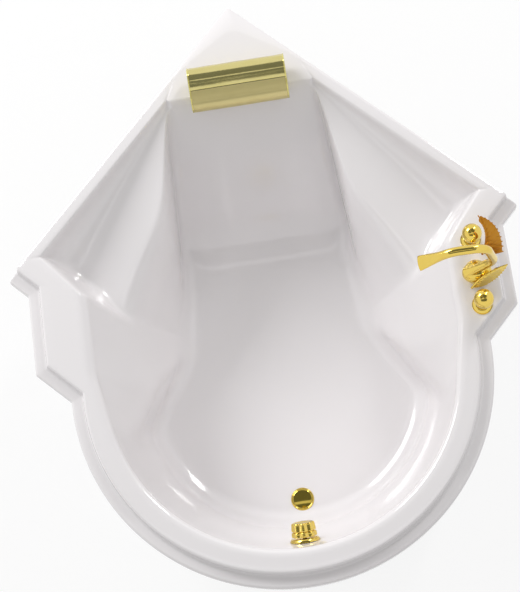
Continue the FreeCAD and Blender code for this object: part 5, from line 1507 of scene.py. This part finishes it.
@dataclass
class Headrest:
    """Gold vinyl headrest: two stuffed rolls with piped ends.

    Each roll is (back, height above the rim, radius).
    """

    half: float = 146.0
    end_inset: float = 3.0
    skin: float = 0.8
    upper: tuple[float, float, float] = (238.0, 46.0, 38.0)
    lower: tuple[float, float, float] = (298.0, 23.0, 31.0)
    roll_ends: Plan = (math.radians(70.0), math.radians(82.0))
    crease_rise: float = 28.6
    crease_bow: float = 0.05
    creases: tuple[int, int] = (54, 103)
    piping: float = 2.1
    end_bulge: float = 2.6
    marks: Sequence[float] = (0.0, 0.2, 0.38, 0.55, 0.7, 0.8, 0.86, 0.9, 0.93, 0.955, 0.972, 0.985,
                              0.992, 1.0)
    end_start: float = 0.93
    end_length: float = 0.07
    end_shrink: float = 0.03
    end_shares: Sequence[float] = (0.0, 0.05, 0.16, 0.4, 0.7, 0.92)
    taper: float = 0.008
    pucker: float = 0.010
    pucker_fade: float = 9.0
    pucker_folds: float = 17.0
    wave: float = 0.006
    stitch_count: int = 56
    stitch_size: Sequence[float] = (3.2, 0.7, 0.7)
    stitch: Sequence[Plan] = ((0.0, -0.5), (0.35, -0.42), (0.5, -0.2), (0.5, 0.2), (0.35, 0.42),
                              (0.0, 0.5))
    cup_pitch: float = 95.0
    cup: Sequence[Plan] = ((0.0, 0.4), (14.0, 0.1), (17.0, 0.0), (16.6, 0.7), (12.5, 2.6), (9.6, 5.0),
                           (8.6, 7.6), (0.0, 7.6))
    seed: int = 7

    def outline(self) -> np.ndarray:
        """Return the rolls' section as (back, height) points, from the front crease round."""
        upper, lower = np.array(self.upper[:2]), np.array(self.lower[:2])
        along = (lower - upper) / np.linalg.norm(lower - upper)
        across = np.array((-along[1], along[0]))
        middle = (upper + lower) / 2.0
        first, second = self.roll_ends
        rounds = []
        for centre, radius, turns in ((upper, self.upper[2], np.linspace(first, FULL_TURN - first, 50)),
                                      (lower, self.lower[2], np.linspace(math.pi + second,
                                                                         3.0 * math.pi - second, 40))):
            rounds.append([centre + (radius - self.skin) * (along * math.cos(t) + across * math.sin(t))
                           for t in turns])
        top, low = rounds
        points = [*top, *self._crease(top[-1], middle - across * self.crease_rise, low[0]), *low,
                  *self._crease(low[-1], middle + across * self.crease_rise, top[0])]
        return np.array(points)

    def _crease(self, leave: np.ndarray, crease: np.ndarray, meet: np.ndarray) -> list[np.ndarray]:
        """Draw the shallow crease between the rolls.

        Args:
            leave: last point of one roll.
            crease: the crease's deepest point.
            meet: first point of the other roll.

        Returns:
            The points between the rolls.
        """
        points = []
        for start, end in ((leave, crease), (crease, meet)):
            bow = (start + end) / 2.0 + (end - start)[::-1] * np.array((1.0, -1.0)) * self.crease_bow
            points += [pulled(start, bow, end, t) for t in np.linspace(0.0, 1.0, 6)[1:]]
        return points[:-1]

    def rows(self, outline: np.ndarray, middle: np.ndarray) -> list[np.ndarray]:
        """Set the section along the rolls, with puckers near the ends.

        Args:
            outline: the section.
            middle: the point that it is scaled about.

        Returns:
            The rings, in metres.
        """
        marks = [-mark for mark in self.marks[:0:-1]] + list(self.marks)
        phase = np.random.default_rng(self.seed).uniform(0.0, FULL_TURN, 6)
        angle = np.linspace(0.0, FULL_TURN, len(outline), endpoint=False)
        rings = []
        for mark in marks:
            inset = max(abs(mark) - self.end_start, 0.0) / self.end_length
            size = 1.0 - self.end_shrink * inset ** 2 - self.taper * abs(mark)
            fade = math.exp(-(1.0 - abs(mark)) * self.pucker_fade)
            pucker = self.pucker * fade * np.sin(angle * self.pucker_folds + phase[0])
            swell = np.sin(angle * 3.0 + mark * 7.0 + phase[1])
            wave = self.wave * swell * math.cos(mark * 5.0 + phase[2])
            scaled = middle + (outline - middle) * (size + pucker + wave - self.wave)[:, None]
            x = np.full(len(outline), mark * (self.half - self.end_inset))
            rings.append(np.stack([x, CORNER_Y - scaled[:, 0], RIM_HEIGHT + scaled[:, 1]], axis=1) * MM)
        return rings

    def build(self, instancer: Instancer) -> list[bpy.types.Object]:
        """Make the cushion with its piping and stitches, and the cups.

        Args:
            instancer: the tree that repeats the stitch.

        Returns:
            The finished pieces.
        """
        outline = self.outline()
        middle = (np.array(self.upper[:2]) + np.array(self.lower[:2])) / 2.0
        rows = self.rows(outline, middle)
        low, high = self.creases
        upper = [*range(high, len(outline)), *range(low + 1)]
        draft = Draft()
        # The lower roll takes layer 2, the paler vinyl copy that paints it as lit.
        draft.grid(np.array([row[low:high + 1] for row in rows]), round_rows=False, layer=2)
        draft.grid(np.array([row[upper] for row in rows]), round_rows=False)
        for side, row in ((-1.0, rows[0]), (1.0, rows[-1])):
            centre = np.array(spot(side * (self.half - self.end_inset), middle[0], -middle[1]))
            cap = []
            for share in self.end_shares:
                ring = row + (centre - row) * share
                ring[:, 0] += side * self.end_bulge * MM * math.sqrt(share * (2.0 - share))
                cap.append(ring)
            draft.grid(np.array(cap))
            draft.fan(cap[-1])
        for row in (rows[1], rows[-2]):
            draft.tube(row, self.piping, 10, closed=True, layer=1)
        cushion = draft.build("headrest_rolls", [Look.VINYL, Look.PIPING, Look.PALE_LIT_VINYL], 45.0)
        piece = joined("headrest_rolls", [cushion, self.build_stitches(rows, instancer)], 45.0)
        return [finished(piece, "headrest", "vinyl", "headrest_cushion"), self.build_cups()]

    def build_stitches(self, rows: Sequence[np.ndarray], instancer: Instancer) -> bpy.types.Object:
        """Make the stitches along both creases.

        Args:
            rows: the cushion's rings.
            instancer: the tree that repeats the stitch.

        Returns:
            The stitches as one object.
        """
        places = []
        inner = rows[3:-3]
        for column in self.creases:
            seam = np.array([row[column] for row in inner])
            out = Vector(inner[len(inner) // 2][column] - inner[len(inner) // 2].mean(axis=0)).normalized()
            line = np.vstack([sampled(seam, self.stitch_count), seam[-1:]])
            for start, end in zip(line, line[1:]):
                along = Vector(end - start).normalized()
                up = (out - along * along.dot(out)).normalized()
                turn = Matrix((along, up.cross(along), up)).transposed()
                places.append((Vector(start) + up * 0.3 * MM, turn, Vector(self.stitch_size) * MM))
        draft = Draft()
        draft.lathe(self.stitch, Vector((0, 0, 0)), Vector((1, 0, 0)), 8)
        shape = draft.build("stitch", [Look.THREAD])
        for vertex in shape.data.vertices:
            vertex.co = vertex.co / MM
        return shown("headrest_stitches", instancer.run("headrest_stitches", places, shape, Look.THREAD))

    def build_cups(self) -> bpy.types.Object:
        """Make the three suction cups under the upper roll."""
        draft = Draft()
        for k in (-1, 0, 1):
            draft.lathe(self.cup, spot(self.cup_pitch * k, self.upper[0]), steps=40)
        cups = draft.build("headrest_suction_cups", [Look.CLEAR_RUBBER])
        return finished(cups, "headrest", "clear_rubber", "headrest_cups")


# ---------------------------------------------------- pieces under the rim
@dataclass
class Understructure:
    """Panel, boards, cradle and plumbing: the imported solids, merged and smoothed."""

    groups: ClassVar[dict[tuple[Look, str], str]] = {
        (Look.ACRYLIC, "acrylic"): "front_panel",
        (Look.WOOD, "wood"): "right_ear_board left_ear_board corner_board right_rim_batten "
                             "left_rim_batten base_board",
        (Look.STEEL, "steel"): "panel_clips panel_screws rear_cradle_rail front_cradle_rail cradle_screws "
                               "leg_studs leg_nuts centre_leg_plate",
        (Look.RUBBER, "rubber"): "foot_pads hot_washer cold_washer spout_washer waste_plug_seal "
                                 "waste_gasket overflow_gasket plug_control_cable",
        (Look.BRASS, "brass"): "hot_valve cold_valve hot_link_pipe cold_link_pipe hot_backnut cold_backnut "
                               "hot_spindle cold_spindle spout_backnut spout_tee waste_plug_stem "
                               "overflow_spindle overflow_crank",
        (Look.WHITE_PLASTIC, "white_plastic"): "waste_body overflow_elbow overflow_pipe overflow_pipe_nuts",
    }
    sharp: float = 28.0
    gap: float = 1e-6

    def build(self, body_of: Callable[[str], str]) -> list[bpy.types.Object]:
        """Give every remaining node its finish.

        Args:
            body_of: gives a node's body.

        Returns:
            The finished pieces.
        """
        return [finished(self.dressed(name, look), body_of(name), slot, name)
                for (look, slot), names in self.groups.items() for name in names.split()]

    def dressed(self, name: str, look: Look) -> bpy.types.Object:
        """Copy a node's mesh, merge its points and give it a finish.

        Args:
            name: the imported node.
            look: its finish.

        Returns:
            The linked object.
        """
        mesh = frame["nodes"][name].data.copy()
        mesh.materials.clear()
        mesh.materials.append(look.material())
        work = bmesh.new()
        work.from_mesh(mesh)
        bmesh.ops.remove_doubles(work, verts=work.verts, dist=self.gap)
        for face in work.faces:
            face.material_index = 0
        work.to_mesh(mesh)
        work.free()
        return shown(name + "_finished", mesh, self.sharp)


def body_of_node(name: str) -> str:
    """Return the body that a node belongs to."""
    bodies = frame["record"]["behaviour"]["bodies"]
    return next(body for body, nodes in bodies.items() if name in nodes)


# -------------------------------------------------------------------- studio
@dataclass(frozen=True)
class Lamp:
    """Soft area lamp that points at a spot."""

    name: str
    place: tuple[float, float, float]
    target: tuple[float, float, float]
    size: Plan
    power: float

    def build(self) -> None:
        """Make the lamp."""
        light = bpy.data.lights.new(self.name, "AREA")
        light.shape = "RECTANGLE"
        light.size, light.size_y = self.size
        light.energy = self.power
        made = bpy.data.objects.new(self.name, light)
        made.location = self.place
        away = Vector(self.target) - Vector(self.place)
        made.rotation_euler = away.to_track_quat("-Z", "Y").to_euler()
        bpy.context.scene.collection.objects.link(made)


@dataclass
class Studio:
    """Camera, lamps, cards, floor and background; its lengths are metres."""

    eye: tuple[float, float, float] = (0.12897748, -1.16885826, 4.69949099)
    eye_turn: tuple[float, float, float] = (14.89325493, 4.24892189, -7.80230937)
    lens: float = 91.216
    sensor: float = 36.0
    lamps: Sequence[Lamp] = (
        Lamp("key", (-4.2, 4.6, 4.6), (0.0, -0.3, 0.3), (3.4, 2.6), 285.0),
        Lamp("side_strip", (3.4, 4.2, 4.4), (0.0, -0.2, 0.3), (0.7, 3.6), 105.0),
    )
    cards: Sequence[tuple[float, float, float, float]] = ((-2.4, 2.4, -0.55, 2.3), (-2.4, 2.4, -3.2, -1.05))
    card_height: float = 3.6
    card_colour: Colour = (0.19, 0.2, 0.19)
    sky: Colour = (1.0, 0.995, 0.99)
    sky_level: float = 0.52
    floor_reach: float = 9.0
    floor_colour: Colour = (0.94, 0.94, 0.94)
    floor_roughness: float = 0.9
    floor_shine: float = 0.1
    floor_white: float = 0.85

    def build(self) -> None:
        """Make the whole studio."""
        self._camera()
        for lamp in self.lamps:
            lamp.build()
        self._world()
        self._floor()
        self._dark_cards()
        bpy.context.scene.view_settings.view_transform = "Standard"

    def _camera(self) -> None:
        """Place the camera where the photograph was taken from."""
        lens = bpy.data.cameras.new("photo_camera")
        lens.sensor_width = self.sensor
        lens.lens = self.lens
        lens.dof.use_dof = False
        made = bpy.data.objects.new("photo_camera", lens)
        made.location = self.eye
        made.rotation_euler = Euler([math.radians(turn) for turn in self.eye_turn])
        bpy.context.scene.collection.objects.link(made)
        bpy.context.scene.camera = made

    def _seen(self, tree: bpy.types.NodeTree, *rays: str) -> bpy.types.NodeSocket:
        """Tell some kinds of rays from the others.

        Args:
            tree: the nodes that ask.
            rays: outputs of the Light Path node.

        Returns:
            A socket that is 1 for these rays.
        """
        path = tree.nodes.new("ShaderNodeLightPath")
        seen = path.outputs[rays[0]]
        for ray in rays[1:]:
            either = tree.nodes.new("ShaderNodeMath")
            either.operation = "MAXIMUM"
            tree.links.new(seen, either.inputs[0])
            tree.links.new(path.outputs[ray], either.inputs[1])
            seen = either.outputs["Value"]
        return seen

    def _plain(self, tree: bpy.types.NodeTree, kind: str, colour: Colour,
               level: float = 1.0) -> bpy.types.NodeSocket:
        """Make one even glow.

        Args:
            tree: the nodes that it joins.
            kind: Background or Emission.
            colour: its colour.
            level: its strength.

        Returns:
            The glow's output.
        """
        glow = tree.nodes.new("ShaderNode" + kind)
        glow.inputs["Color"].default_value = (*colour, 1.0)
        glow.inputs["Strength"].default_value = level
        return glow.outputs[kind]

    def _world(self) -> None:
        """Make the world white for the camera and for reflections, softer for the object."""
        world = bpy.data.worlds.new("studio")
        bpy.context.scene.world = world
        world.use_nodes = True
        tree = world.node_tree
        tree.nodes.clear()
        mix = tree.nodes.new("ShaderNodeMixShader")
        sink = tree.nodes.new("ShaderNodeOutputWorld")
        seen = self._seen(tree, "Is Camera Ray", "Is Glossy Ray", "Is Transmission Ray")
        tree.links.new(seen, mix.inputs["Fac"])
        tree.links.new(self._plain(tree, "Background", self.sky, self.sky_level), mix.inputs[1])
        tree.links.new(self._plain(tree, "Background", (1.0, 1.0, 1.0)), mix.inputs[2])
        tree.links.new(mix.outputs["Shader"], sink.inputs["Surface"])

    def _sheet(self, name: str, edges: Sequence[float], height: float,
               material: bpy.types.Material) -> bpy.types.Object:
        """Lay a flat sheet that isn't part of the object.

        Args:
            name: the sheet's name.
            edges: left, right, front and rear edge.
            height: its height.
            material: its material.

        Returns:
            The linked object.
        """
        left, right, front, rear = edges
        mesh = bpy.data.meshes.new(name)
        mesh.from_pydata([(left, front, height), (right, front, height), (right, rear, height),
                          (left, rear, height)], [], [(0, 1, 2, 3)])
        mesh.materials.append(material)
        sheet = bpy.data.objects.new(name, mesh)
        bpy.context.scene.collection.objects.link(sheet)
        return sheet

    def _dark_cards(self) -> None:
        """Hang dark cards overhead that only reflections see, so that metal has contrast."""
        made = bpy.data.materials.new("dark_card")
        made.use_nodes = True
        tree = made.node_tree
        tree.links.new(self._plain(tree, "Emission", self.card_colour),
                       tree.nodes["Material Output"].inputs["Surface"])
        for k, edges in enumerate(self.cards):
            card = self._sheet(f"dark_card_{k}", edges, self.card_height, made)
            card.visible_camera = card.visible_diffuse = False
            card.visible_shadow = card.visible_transmission = False

    def _floor(self) -> None:
        """Lay a pale floor that keeps the bath's shadow."""
        made = bpy.data.materials.new("studio_floor")
        made.use_nodes = True
        tree = made.node_tree
        shader = tree.nodes["Principled BSDF"]
        shader.inputs["Base Color"].default_value = (*self.floor_colour, 1.0)
        shader.inputs["Roughness"].default_value = self.floor_roughness
        shader.inputs["Specular IOR Level"].default_value = self.floor_shine
        share = tree.nodes.new("ShaderNodeMath")
        share.operation = "MULTIPLY"
        share.inputs[1].default_value = self.floor_white
        mix = tree.nodes.new("ShaderNodeMixShader")
        tree.links.new(self._seen(tree, "Is Camera Ray", "Is Glossy Ray"), share.inputs[0])
        tree.links.new(share.outputs["Value"], mix.inputs["Fac"])
        tree.links.new(shader.outputs["BSDF"], mix.inputs[1])
        tree.links.new(self._plain(tree, "Emission", (1.0, 1.0, 1.0)), mix.inputs[2])
        tree.links.new(mix.outputs["Shader"], tree.nodes["Material Output"].inputs["Surface"])
        reach = self.floor_reach
        self._sheet("studio_floor", (-reach, reach, -reach, reach), 0.0, made)


def main() -> None:
    """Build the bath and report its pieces."""
    logging.basicConfig(level=logging.INFO, format="%(name)s: %(message)s")
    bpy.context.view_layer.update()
    instancer = Instancer()
    pieces = [finished(BathShell().build(), "bath", "acrylic", "bath_shell")]
    pieces += Tap("hot", SPOUT_BACK - TAP_PITCH).build() + Tap("cold", SPOUT_BACK + TAP_PITCH).build()
    pieces += Swan().build(instancer)
    pieces += Waste().build() + Overflow().build() + Headrest().build(instancer)
    pieces += Understructure().build(body_of_node)
    Studio().build()
    LOG.info("%d pieces, %d faces", len(pieces), sum(len(piece.data.polygons) for piece in pieces))


if __name__ == "__main__":
    main()
